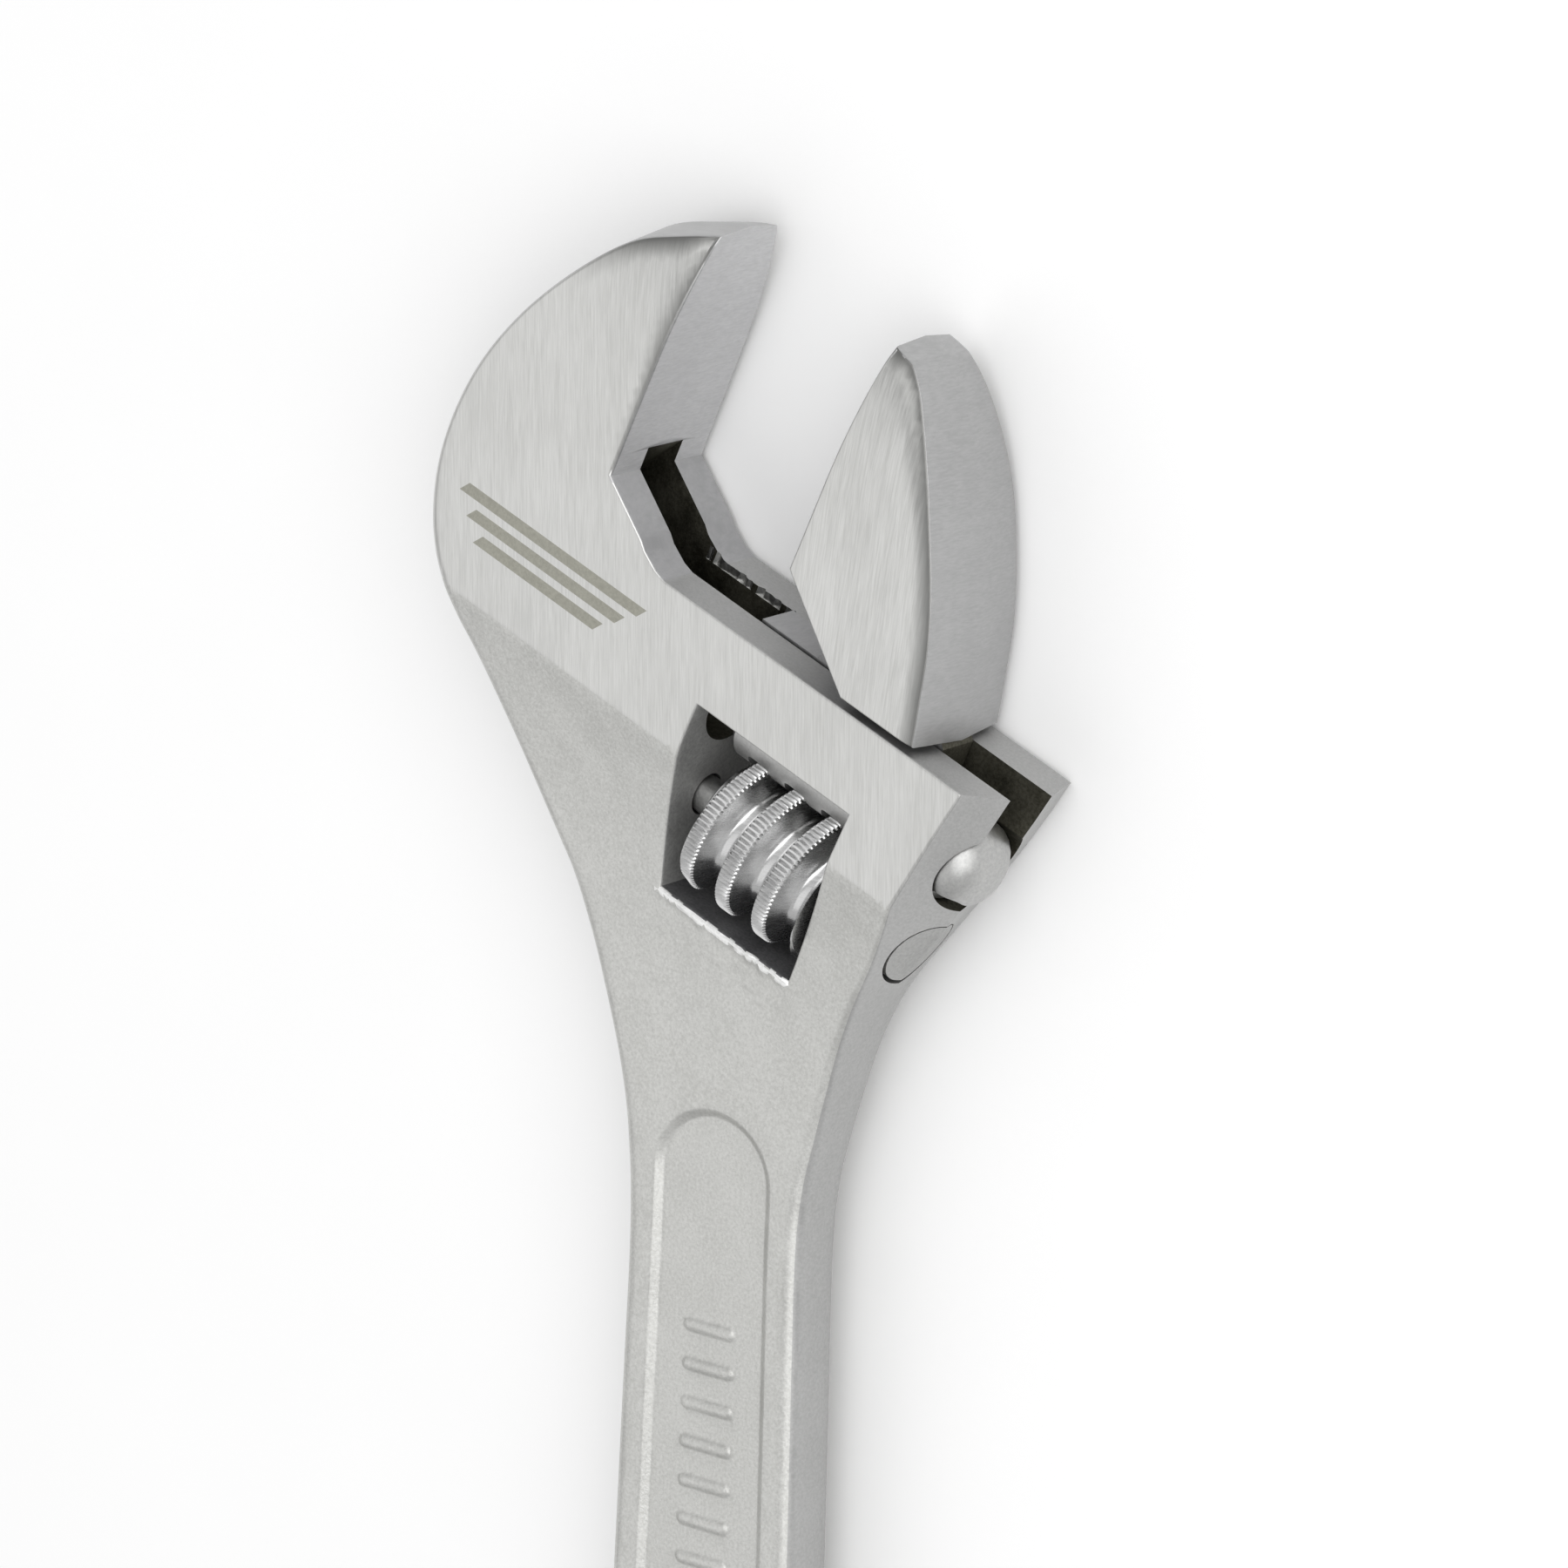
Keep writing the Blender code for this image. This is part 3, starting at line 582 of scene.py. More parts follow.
class Surface:
    """A material's shader and the nodes that feed it."""

    def __init__(self, name, metallic):
        self.material = bpy.data.materials.new(name)
        self.material.use_nodes = True
        self.nodes = self.material.node_tree.nodes
        self.links = self.material.node_tree.links
        self.shader = self.nodes["Principled BSDF"]
        self.shader.inputs["Metallic"].default_value = metallic

    def drive(self, socket, value):
        self.links.new(value, self.shader.inputs[socket])

    def stretched_noise(self, angle, scales, detail, roughness, offset_by=0.0):
        """Noise on Object coordinates, turned about Z by angle, with a scale per metre along each axis."""
        place = self.nodes.new("ShaderNodeTexCoord")
        turn = self.nodes.new("ShaderNodeMapping")
        turn.vector_type = "POINT"
        turn.inputs["Rotation"].default_value = (0, 0, -angle)
        turn.inputs["Location"].default_value = (offset_by, 0, 0)
        stretch = self.nodes.new("ShaderNodeVectorMath")
        stretch.operation = "MULTIPLY"
        stretch.inputs[1].default_value = scales
        texture = self.nodes.new("ShaderNodeTexNoise")
        texture.inputs["Scale"].default_value = 1.0
        texture.inputs["Detail"].default_value = detail
        texture.inputs["Roughness"].default_value = roughness
        self.links.new(place.outputs["Object"], turn.inputs["Vector"])
        self.links.new(turn.outputs["Vector"], stretch.inputs[0])
        self.links.new(stretch.outputs["Vector"], texture.inputs["Vector"])
        return texture.outputs["Fac"]

    def map_range(self, value, low, high, from_low=0.3, from_high=0.7):
        node = self.nodes.new("ShaderNodeMapRange")
        node.inputs["From Min"].default_value = from_low
        node.inputs["From Max"].default_value = from_high
        node.inputs["To Min"].default_value = low
        node.inputs["To Max"].default_value = high
        self.links.new(value, node.inputs["Value"])
        return node.outputs["Result"]

    def mixed(self, share, first, second):
        """Two values mixed by share: colours where the second is one, and numbers otherwise."""
        node = self.nodes.new("ShaderNodeMix")
        is_color = isinstance(second, tuple)
        node.data_type = "RGBA" if is_color else "FLOAT"
        first_socket = 6 if is_color else 2
        sockets = (node.inputs[0], node.inputs[first_socket], node.inputs[first_socket + 1])
        for socket, value in zip(sockets, (share, first, second)):
            if isinstance(value, tuple):
                socket.default_value = (*value, 1)
            elif isinstance(value, float):
                socket.default_value = value
            else:
                self.links.new(value, socket)
        return node.outputs[2 if is_color else 0]

    def bumped(self, layers):
        """Adds up bump layers of (height, strength, distance in metres) into the shader's normal."""
        normal = None
        for height, strength, depth in layers:
            bump = self.nodes.new("ShaderNodeBump")
            bump.inputs["Strength"].default_value = strength
            bump.inputs["Distance"].default_value = depth
            self.links.new(height, bump.inputs["Height"])
            if normal is not None:
                self.links.new(normal, bump.inputs["Normal"])
            normal = bump.outputs["Normal"]
        self.drive("Normal", normal)


TONE_LOW = 0.38             # the noise values that give the darkest and the lightest tone
TONE_HIGH = 0.62
CROSSWISE = math.radians(90)
HEAD_BRUSHING = math.radians(2.5)
JAW_BRUSHING = math.radians(-6.5)
FINE_BRUSHING = 0.00001     # how deep the lines are, in metres


def brushed(
    name, dark, light, angle, low_roughness, high_roughness, depth=FINE_BRUSHING, metallic=1.0, edge_shade=False,
):
    """Ground or milled chrome: fine lines along one direction, with painted shade darkening the colour where
    the part's edge is rounded over.
    """
    look = Surface(name, metallic)
    fine = look.stretched_noise(angle, (240.0, 4800.0, 900.0), 3.0, 0.65)
    broad = look.stretched_noise(angle, (90.0, 1100.0, 300.0), 2.0, 0.5, 0.3)
    patches = look.stretched_noise(angle, (90.0, 120.0, 90.0), 2.0, 0.5, 0.7)
    lines = look.mixed(0.25, fine, broad)
    tone = look.mixed(0.15, lines, patches)
    color = look.mixed(look.map_range(tone, 0, 1, TONE_LOW, TONE_HIGH), dark, light)
    # painted shade: the colour darkens to a share of the dark tone beside a rounded-over edge, standing in
    # for a dark reflection
    if edge_shade:
        attribute = look.nodes.new("ShaderNodeAttribute")
        attribute.attribute_name = "edge_shade"
        edge_shade_color = tuple(channel * EDGE_SHADE_TONE for channel in dark)
        color = look.mixed(attribute.outputs["Fac"], color, edge_shade_color)
    look.drive("Base Color", color)
    look.drive("Roughness", look.map_range(lines, low_roughness, high_roughness))
    look.bumped([(fine, 0.5, depth), (broad, 0.35, depth)])
    return look.material


def forged(name, dark, light, low_roughness, high_roughness, grain=0.00006, metallic=1.0):
    """Satin chrome over a blasted forging: fine grain, soft blotches."""
    look = Surface(name, metallic)
    fine = look.stretched_noise(0.0, (2900.0, 2900.0, 2900.0), 3.0, 0.7)
    blotch = look.stretched_noise(0.4, (160.0, 220.0, 200.0), 3.0, 0.6, 0.4)
    tone = look.mixed(0.35, fine, blotch)
    look.drive("Base Color", look.mixed(look.map_range(tone, 0, 1, TONE_LOW, TONE_HIGH), dark, light))
    look.drive("Roughness", look.map_range(blotch, low_roughness, high_roughness))
    look.bumped([(fine, 0.5, grain), (blotch, 0.3, grain * 4)])
    return look.material


def grey(level, blue=0.0):
    return level, level, level + blue


LOOKS = {
    # the two ground looks carry painted shade beside rounded-over edges
    "ground": brushed(
        "ground_chrome", grey(0.55, -0.015), grey(0.69, -0.015), HEAD_BRUSHING, 0.28, 0.42, 0.000012,
        edge_shade=True,
    ),
    "jaw_ground": brushed(
        "jaw_ground_chrome", grey(0.54, -0.015), grey(0.70, -0.015), JAW_BRUSHING, 0.28, 0.42, 0.000016,
        edge_shade=True,
    ),
    # painted shade: the crosswise-brushed rim chrome is coloured darker than the ground faces, for how light
    # falls on faces turned sideways
    "rim": brushed("rim_chrome_painted_side_shade", grey(0.40), grey(0.48), CROSSWISE, 0.34, 0.48),
    "milled": brushed(
        "milled_chrome", grey(0.42, 0.005), grey(0.50, 0.005), math.radians(20), 0.36, 0.48, 0.000008
    ),
    "face": brushed(
        "jaw_face_chrome", grey(0.50, 0.005), grey(0.60, 0.005), CROSSWISE, 0.40, 0.52, 0.000008, 0.35
    ),
    # painted shade: a darker copy of the forged chrome for faces turned sideways
    "side": forged("forged_chrome_painted_side_shade", grey(0.42, -0.005), grey(0.50, -0.005), 0.40, 0.54, 0.00003),
    "forged": forged("forged_chrome", grey(0.54, -0.02), grey(0.68, -0.02), 0.40, 0.52),
    # near-black oiled steel for the bore and slot, also used as painted shade on the jaw's neck under its
    # foot
    "dark": forged("oiled_steel_and_painted_shade", (0.06, 0.057, 0.042), (0.13, 0.125, 0.10), 0.45, 0.7),
    "bore": forged("dim_slot_end_steel", grey(0.20, -0.005), grey(0.30, -0.01), 0.4, 0.55, metallic=0.5),
    # painted shade: the window's walls are coloured darker than the chrome
    "wall": forged("window_wall_painted_shade_steel", grey(0.28, -0.005), grey(0.42, -0.01), 0.4, 0.55, metallic=0.4),
    "floor_wall": forged("shaded_wall_steel", grey(0.11, 0.005), grey(0.19, 0.005), 0.4, 0.6, metallic=0.6),
    # painted highlight: the burr's ridge is coloured near white for the bright line along the window's lower
    # edge
    "burr": forged("burr_painted_highlight_chrome", grey(0.80, -0.01), grey(0.95, -0.01), 0.3, 0.45),
    "etched": forged("etched_chrome", (0.36, 0.355, 0.31), (0.44, 0.435, 0.38), 0.5, 0.6),
    "bright": brushed("bright_chrome", grey(0.60), grey(0.72), CROSSWISE, 0.20, 0.32),
    "slide": forged("slide_steel", grey(0.44, -0.005), grey(0.54, -0.01), 0.36, 0.48, 0.00002),
    "pin": forged("pin_steel", grey(0.36, -0.005), grey(0.46, -0.01), 0.35, 0.5),
    "wire": forged("spring_steel", grey(0.24), grey(0.34), 0.35, 0.5),
}

# ---------------------------------------------------------------- body


def toward_tip(x):
    """From 0 on the fixed jaw's back to 1 at its tip."""
    return ease((x + 14.0) / 8.0)


def tip_height(y):
    share = np.maximum((y - (JAW_TIP - TIP_TAPER)) / TIP_TAPER, 0.0)
    return HALF - (HALF - TIP_THICKNESS / 2) * share ** 2.2


def recess_depth(along, across):
    """How far the handle's panel lies below its rim, and the raised ribs in it."""
    half = handle_half_width(along) - RECESS_RIM
    near = np.hypot(np.maximum(RECESS_START + half - along, 0.0), across)
    far = np.hypot(np.maximum(along - (RECESS_END - half), 0.0), across)
    wall = half - np.maximum(near, far)
    depth = RECESS_DEPTH * ease(wall / RECESS_WALL)
    return depth - RIB_HEIGHT * ease(rib_distance(along, across) / RIB_SLOPE)


RIB_FIRST = 83.0            # the ribs in the panel, measured along the handle
RIB_LAST = 168.0
RIB_SPACING = 4.25
RIB_LENGTH = 7.2
RIB_WIDTH = 2.0
RIB_HEIGHT = 0.42
RIB_SLOPE = 0.75


def rib_distance(along, across):
    """How far inside a rib a place is, and less than zero outside."""
    turn = np.round(np.clip((along - RIB_FIRST) / RIB_SPACING, 0, (RIB_LAST - RIB_FIRST) / RIB_SPACING))
    from_middle = np.abs(along - RIB_FIRST - turn * RIB_SPACING)
    over = np.maximum(np.abs(across) - (RIB_LENGTH - RIB_WIDTH) / 2, 0.0)
    return RIB_WIDTH / 2 - np.hypot(from_middle, over)


def dents(places):
    """Small forging marks round the window's lower edge, and slow unevenness all over the forging."""
    found = np.zeros(len(places))
    for index, (x, y) in enumerate(places):
        if y > GROUND_EDGE:
            continue
        rough = math.exp(-((x - 32.0) / 10.0) ** 2 - ((y + 34.5) / 4.0) ** 2)
        slow = noise.noise(Vector((x * 0.12, y * 0.12, 3.0)))
        quick = noise.noise(Vector((x * 0.9, y * 0.9, 7.0)))
        pits = min(noise.noise(Vector((x * 0.5, y * 0.5, 11.0))) + 0.25, 0.0)
        found[index] = 0.05 * slow + 0.14 * rough * quick + 0.25 * rough * pits + 0.06 * pits
    return found * np.asarray(ease((GROUND_EDGE - places[:, 1]) / 3.0))


def body_height(places):
    x, y = places[:, 0], places[:, 1]
    share = np.clip((GROUND_EDGE - y) / NECK_LENGTH, 0.0, 1.0)
    fall = 1 - (1 - share) ** NECK_FALL
    height = np.where(y > GROUND_EDGE, tip_height(y), HALF - (HALF - HANDLE_HALF) * fall)
    up = ease((y - FACE_FOOT) / (JAW_TIP - FACE_FOOT))
    width = 0.9 + 2.4 * up
    height = height - (0.15 + 0.6 * up) * np.clip(1 + x / width, 0.0, 1.0) ** 2 * (y > FACE_FOOT)
    tip = toward_tip(x) * (y > 20.0)
    rim = np.full(len(places), np.inf)
    near_tip = tip > 0
    if near_tip.any():
        rim[near_tip] = distance(places[near_tip], TIP_RIM, closed=False)
    height = height - 0.45 * tip * np.clip(1 - rim / 2.2, 0.0, 1.0) ** 2
    along, across = handle_coordinates(x, y)
    height = height - recess_depth(along, across)
    return height + dents(places) + burr(places)


def body_edge_shade(places):
    """Painted shade, from 0 to 1: near the fixed jaw's own face and round its tip."""
    x, y = places[:, 0], places[:, 1]
    up = ease((y - FACE_FOOT) / (JAW_TIP - FACE_FOOT))
    face = np.clip(1 + x / (0.5 + 1.5 * up), 0.0, 1.0) * (y > FACE_FOOT)
    from_tip = distance(places, TIP_RIM, closed=False) - EDGE_SHADE_START
    tip = np.clip(1 - from_tip / EDGE_SHADE_WIDTH, 0.0, 1.0)
    return np.maximum(face, tip * toward_tip(x)) * (y > FACE_FOOT)


def burr_line(x, y):
    """How far each place is below the window's lower edge, and how much the burr wanders there."""
    wander = np.array([0.35 * noise.noise(Vector((a * 0.9, 4.0, 2.0))) for a in x])
    return WINDOW_BOTTOM - y, wander


def burr(places):
    """The ridge pushed up along the window's lower edge."""
    x, y = places[:, 0], places[:, 1]
    away, wander = burr_line(x, y)
    near = (x > WINDOW_LEFT_BOTTOM - 0.6) & (x < WINDOW_RIGHT_BOTTOM) & (away > 0) & (away < 2.5)
    ragged = np.array([0.7 + 0.7 * noise.noise(Vector((a * 1.4, b * 1.4, 9.0))) for a, b in places])
    return near * 0.34 * ragged * np.exp(-((away - 0.6 - wander) / 0.38) ** 2)


MACHINED = (SIDE_DRAFT, SIDE_DRAFT, 0.5)
FORGED = (SIDE_DRAFT, SIDE_DRAFT, EDGE_RADIUS)
HANDLE_EDGE = (0.1, 0.1, 1.9)


def body_rim():
    """The forged rim, counter-clockwise from the fixed jaw's tip to the head's far end, as chains."""
    tip = JAW_TIP
    fixed_jaw = [
        (6.0, tip + 1.8, *MACHINED),
        (0.0, tip + 0.1, *MACHINED),
        (-4.6, tip - 2.1, *MACHINED),
        (-9.1, tip - 5.2, *MACHINED),
        (-13.7, tip - 11.2, *MACHINED),
        (-17.9, tip - 18.8, *MACHINED),
        (-20.6, 7.5, SIDE_DRAFT, SIDE_DRAFT, 0.7),
        (-21.4, -0.5, SIDE_DRAFT, SIDE_DRAFT, 0.9),
        (-20.4, -7.5, SIDE_DRAFT, SIDE_DRAFT, 1.2),
        (-17.6, -13.6, *FORGED),
        (-12.9, -18.4, *FORGED),
        (-8.2, -21.9, *FORGED),
        (2.9, -30.7, *FORGED),
        (9.0, -35.4, *FORGED),
        (14.3, -40.6, *FORGED),
        (19.1, -46.1, *FORGED),
        (23.7, -51.8, *FORGED),
    ]
    stations = [HANDLE_START, HANDLE_START + 20, HANDLE_START + 40]
    left = [(27.5, -57.9, *HANDLE_EDGE)]
    left += [(*handle_point(s, -handle_half_width(s)), *HANDLE_EDGE) for s in stations]
    right = [(*handle_point(s, handle_half_width(s)), *HANDLE_EDGE) for s in reversed(stations)]
    far_end = [
        (50.2, -50.6, 0.10, 0.10, 1.8),
        (49.2, -45.3, 0.10, 0.10, 1.6),
        (48.4, -39.5, 0.11, 0.11, 1.4),
        (47.8, -33.3, 0.12, 0.11, 1.2),
        (48.2, -27.0, 0.16, 0.12, 1.0),
        (50.5, -18.9, 0.38, 0.19, 0.6),
        (53.1, -9.0, 0.54, 0.20, 0.4),
        (54.9, 0.0, 0.58, 0.20, 0.35),
        (55.6, 7.0, 0.54, 0.20, 0.35),
        (53.5, 16.0, 0.4, 0.2, 0.35),
    ]
    radius = HANDLE_HALF_END
    centre = np.array(handle_point(HANDLE_END - radius, 0))
    arc = []
    for index in range(41):
        turn = math.pi * index / 40
        place = centre - ACROSS * radius * math.cos(turn) + ALONG * radius * math.sin(turn)
        arc.append((*place, *HANDLE_EDGE))
    rim = spline(fixed_jaw + left, OUTLINE_STEP) + arc + spline(right + far_end, OUTLINE_STEP)
    return cut_chain(rim, lambda p: -p[1] if p[0] > FACET_RUN else -p[0])


CORNER_REACH = 2.6          # how far from a sharp corner the forged rim's points are kept in order
RIM = tied(body_rim(), CORNER_REACH)
TIP_RIM = np.array([(p[0], p[1]) for p in RIM if p[0] > -16.0 and p[1] > 10.0])


def body_outer():
    tip = (RIM[0][0], RIM[0][1])
    end = (RIM[-1][0], RIM[-1][1])
    slide_edge = (0.0, 0.0, CRISP)
    face_edge = (0.0, 0.0, WORN)
    throat = [(FACET_RUN, 0.0), (8.9, 0.35), (6.9, 1.45), (6.1, 2.2), (0.0, FACE_FOOT)]
    chains = [RIM, straight(end, throat[0], slide_edge)]
    chains += [straight(a, b, slide_edge) for a, b in zip(throat, throat[1:])]
    chains.append(straight(throat[-1], tip, face_edge))
    return chained(*chains)


def window_outline():
    """The window's edge, clockwise, so that it is offset into the material around it."""
    crisp = (0.0, 0.0, CRISP)
    worn = (0.0, 0.0, WORN)
    top_left = (WINDOW_LEFT_TOP, WINDOW_TOP)
    bottom_left = (WINDOW_LEFT_BOTTOM, WINDOW_BOTTOM)
    bottom_right = (WINDOW_RIGHT_BOTTOM, WINDOW_BOTTOM)
    top_right = (WINDOW_RIGHT_TOP, WINDOW_TOP)
    chord = np.array(bottom_left) - np.array(top_left)
    outward = np.array((chord[1], -chord[0])) / np.hypot(*chord)
    left = []
    for index in range(21):
        t = index / 20
        place = np.array(top_left) + chord * t + outward * WINDOW_BULGE * 4 * t * (1 - t)
        left.append((*place, *crisp))
    return chained(
        tied(left[::-1], 1.5),
        straight(top_left, top_right, crisp),
        straight(top_right, bottom_right, crisp),
        straight(bottom_right, bottom_left, worn),
    )


def hole_outline():
    centre = handle_point(HANDLE_END - HOLE_FROM_END, 0)
    points = []
    for index in range(49):
        turn = -2 * math.pi * index / 48
        points.append((
            centre[0] + HOLE_RADIUS * math.cos(turn),
            centre[1] + HOLE_RADIUS * math.sin(turn),
            0.0, 0.0, 0.8,
        ))
    return chained(points)


def panel_lines():
    """Loops along the panel's wall and round each rib."""
    loops = []
    for share in (0.0, 0.25, 0.5, 0.75, 1.0):
        inset = RECESS_RIM + share * RECESS_WALL
        half_near = handle_half_width(HANDLE_START) - inset
        half_far = handle_half_width(RECESS_END) - inset
        centre_near = RECESS_START + handle_half_width(HANDLE_START) - RECESS_RIM
        centre_far = RECESS_END - handle_half_width(RECESS_END) + RECESS_RIM
        loop = []
        for index in range(31):
            turn = math.pi * index / 30
            loop.append(handle_point(centre_near - half_near * math.sin(turn), half_near * math.cos(turn)))
        stations = np.linspace(centre_near, centre_far, 50)[1:-1]
        loop += [handle_point(s, -(handle_half_width(s) - inset)) for s in stations]
        for index in range(31):
            turn = math.pi * index / 30
            loop.append(handle_point(centre_far + half_far * math.sin(turn), -half_far * math.cos(turn)))
        loop += [handle_point(s, handle_half_width(s) - inset) for s in stations[::-1]]
        loops.append((loop, True))
    for turn in range(round((RIB_LAST - RIB_FIRST) / RIB_SPACING) + 1):
        along = RIB_FIRST + turn * RIB_SPACING
        for share in (0.0, 0.5, 1.0):
            radius = RIB_WIDTH / 2 - share * RIB_SLOPE
            reach = (RIB_LENGTH - RIB_WIDTH) / 2
            loop = []
            for side in (1, -1):
                for index in range(7):
                    angle = math.pi * (index / 6 - 0.5)
                    loop.append(handle_point(
                        along + side * radius * math.sin(angle), side * (reach + radius * math.cos(angle))
                    ))
            loops.append((loop, True))
    return loops


ETCH_START = (-16.2, -4.0)  # the etched stripes' upper left corner
ETCH_LENGTHS = (25.0, 21.0, 17.0)
ETCH_WIDTH = 1.25
ETCH_SPACING = 2.1
ETCH_LEAN = 0.9


def etched_stripes():
    """Three plain slanted stripes, each as a closed loop of plan points."""
    stripes = []
    for index, length in enumerate(ETCH_LENGTHS):
        low = ETCH_START[1] - index * ETCH_SPACING
        left = ETCH_START[0] + index * ETCH_SPACING * 0.9
        lower = [(left + length * t, low - ETCH_WIDTH) for t in np.linspace(0, 1, 24)]
        upper = [(left + ETCH_LEAN + length * t, low) for t in np.linspace(1, 0, 24)]
        stripes.append(np.array(lower + upper))
    return stripes


def ground_line(outer_rim, window):
    """The crease where the ground flat ends, as open stretches clear of the rim and the window."""
    places = np.array([(x, GROUND_EDGE) for x in np.arange(-20.0, 52.0, 0.8)])
    free = inside(places, outer_rim) & (distance(places, outer_rim) > 0.6)
    free &= ~inside(places, window) & (distance(places, window) > 0.6)
    stretches = []
    run = []
    for place, good in zip(places, free):
        if good:
            run.append(place)
        elif run:
            stretches.append((np.array(run), False))
            run = []
    return stretches


def plan_of(outline, inset):
    size = np.full(len(outline), inset)
    return offset(outline, size, size)


def ragged_edge_cutter():
    """The ragged edge of the slot on the side away from the throat's corner."""
    steps = np.arange(7.6, 20.0, 0.33)
    depth = [SLOT_HALF + 0.55 * max(0.0, noise.noise(Vector((x * 2.3, 0.4, 5.0))) + 0.15) for x in steps]
    bm = bmesh.new()
    lines = []
    for y in (-0.9, 0.6):
        lines.append([bm.verts.new((x, y, -d)) for x, d in zip(steps, depth)])
        lines.append([bm.verts.new((x, y, -SLOT_HALF + 0.8)) for x in steps])
    low_far, low_near, high_far, high_near = lines
    for index in range(len(steps) - 1):
        for a, b in ((low_far, high_far), (high_far, high_near), (high_near, low_near), (low_near, low_far)):
            bm.faces.new((a[index], a[index + 1], b[index + 1], b[index]))
    bm.faces.new((low_far[0], high_far[0], high_near[0], low_near[0]))
    bm.faces.new((low_far[-1], high_far[-1], high_near[-1], low_near[-1]))
    return bm


BODY_LOOKS = (
    "ground", "rim", "milled", "face", "etched", "dark", "bore", "forged", "side", "wall", "floor_wall",
    "burr",
)
JAW_LOOKS = ("jaw_ground", "rim", "milled", "slide", "dark")


def body_material(place, normal):
    """Index into the body's materials for each face, by its place in the jaw frame."""
    x, y, z = place.T
    look = {name: index for index, name in enumerate(BODY_LOOKS)}
    upright = np.abs(normal[:, 2])
    from_bore = np.hypot(y - BORE_Y, z)
    index = np.full(len(x), look["forged"])
    # painted shade: sideways forged faces take the darker copy of the chrome
    index[upright < 0.6] = look["side"]
    # painted shade: the fixed jaw's sideways faces take the darker rim chrome
    index[(upright < 0.8) & (y > -10.0) & (x < 5.0)] = look["rim"]
    index[(upright < 0.8) & (y > -0.02) & (x > -0.02)] = look["milled"]
    index[(normal[:, 0] > 0.8) & (y > FACE_FOOT) & (x > -0.1)] = look["face"]
    index[(upright > 0.8) & (y > GROUND_EDGE)] = look["ground"]
    for stripe in ETCHED:
        index[(upright > 0.8) & (z > 0) & inside(place[:, :2], stripe)] = look["etched"]
    # painted shade: the window's walls take the darker wall steel
    beside = (x > WINDOW_LEFT_TOP - 0.5) & (x < WINDOW_RIGHT_TOP + 0.1) & (y < WINDOW_TOP + 0.1)
    index[beside & (upright < 0.5) & (y > WINDOW_BOTTOM - 0.3)] = look["wall"]
    lower_wall = beside & (normal[:, 1] > 0.8) & (np.abs(y - WINDOW_BOTTOM + 0.1) < 0.2)
    index[lower_wall] = look["floor_wall"]
    # painted highlight: the burr's ridge along the window's lower edge takes a near-white chrome
    away, wander = burr_line(x, y)
    glinting_burr = (np.abs(away - 0.45 - wander) < 0.33) & (x > WINDOW_LEFT_BOTTOM - 0.6) & (x < WINDOW_RIGHT_BOTTOM)
    index[glinting_burr & (z > 0) & (upright > 0.3)] = look["burr"]
    # the bore and slot take the near-black oiled steel, which also paints the shade inside them
    bored = (np.abs(from_bore - BORE_RADIUS) < 0.12) & (np.abs(normal[:, 0]) < 0.5)
    index[bored & (x < 50.0)] = look["dark"]
    cut = (np.abs(z) < SLOT_HALF + 0.01) & (y > BORE_Y) & (y < SLOT_TOP) & (x > SLOT_END - 0.1)
    outside = (np.abs(x) < 0.01) & (normal[:, 0] > 0.9)
    index[cut & ~outside] = look["dark"]
    # the slot's walls past x = 38 mm are coloured mid grey, darker than the chrome
    index[cut & (x > 38.0) & (upright > 0.9)] = look["bore"]
    return index


ETCHED = etched_stripes()


def build_body():
    outer = body_outer()
    window = window_outline()
    rim = side_rings(outer, body_height, 1)[-1][0]
    window_rim = side_rings(window, body_height, 1)[-1][0]
    lines = ground_line(rim, window_rim) + panel_lines() + [(stripe, True) for stripe in ETCHED]
    head = square_grid((-24.0, -46.0), (58.0, 38.0), HEAD_GRID)
    handle = square_grid((10.0, -225.0), (115.0, -46.0), HANDLE_GRID)
    worn = square_grid((20.5, -35.5), (40.5, WINDOW_BOTTOM - 0.5), WORN_GRID)
    grids = [(worn, WORN_GRID), (head, HEAD_GRID), (handle, HANDLE_GRID)]
    blank = slab(outer, [window, hole_outline()], body_height, lines, grids)
    body = object_from(blank, "forged_body")
    slot = [
        (SLOT_END, BORE_Y),
        (SLOT_END, FACE_FOOT - SLOT_RAMP),
        (0.0, SLOT_TOP),
        (REACH, SLOT_TOP),
        (REACH, BORE_Y),
    ]
    pin_bore = [(PIN_START - GAP, PIN_RADIUS + GAP), (PIN_HEAD_START, PIN_RADIUS + GAP)]
    seat = [(PIN_HEAD_START - GAP, PIN_HEAD_RADIUS + GAP), (REACH, PIN_HEAD_RADIUS + GAP)]
    combine(body, [
        ("DIFFERENCE", object_from(prism(slot, -SLOT_HALF, SLOT_HALF), "slot")),
        ("DIFFERENCE", object_from(turned([(SLOT_END, BORE_RADIUS), (REACH, BORE_RADIUS)], BORE_Y), "bore")),
        ("DIFFERENCE", object_from(turned(pin_bore, WORM_Y, 48), "pin_bore")),
        ("DIFFERENCE", object_from(turned(seat, WORM_Y - SEAT_SHIFT), "pin_seat")),
        ("DIFFERENCE", object_from(ragged_edge_cutter(), "ragged_edge")),
    ])
    finish_piece(body, BODY_LOOKS, body_material, "wrench_body", "body", edge_shade=body_edge_shade)


# ---------------------------------------------------------------- movable jaw

JAW_EDGE = (SIDE_DRAFT, SIDE_DRAFT, 0.35)


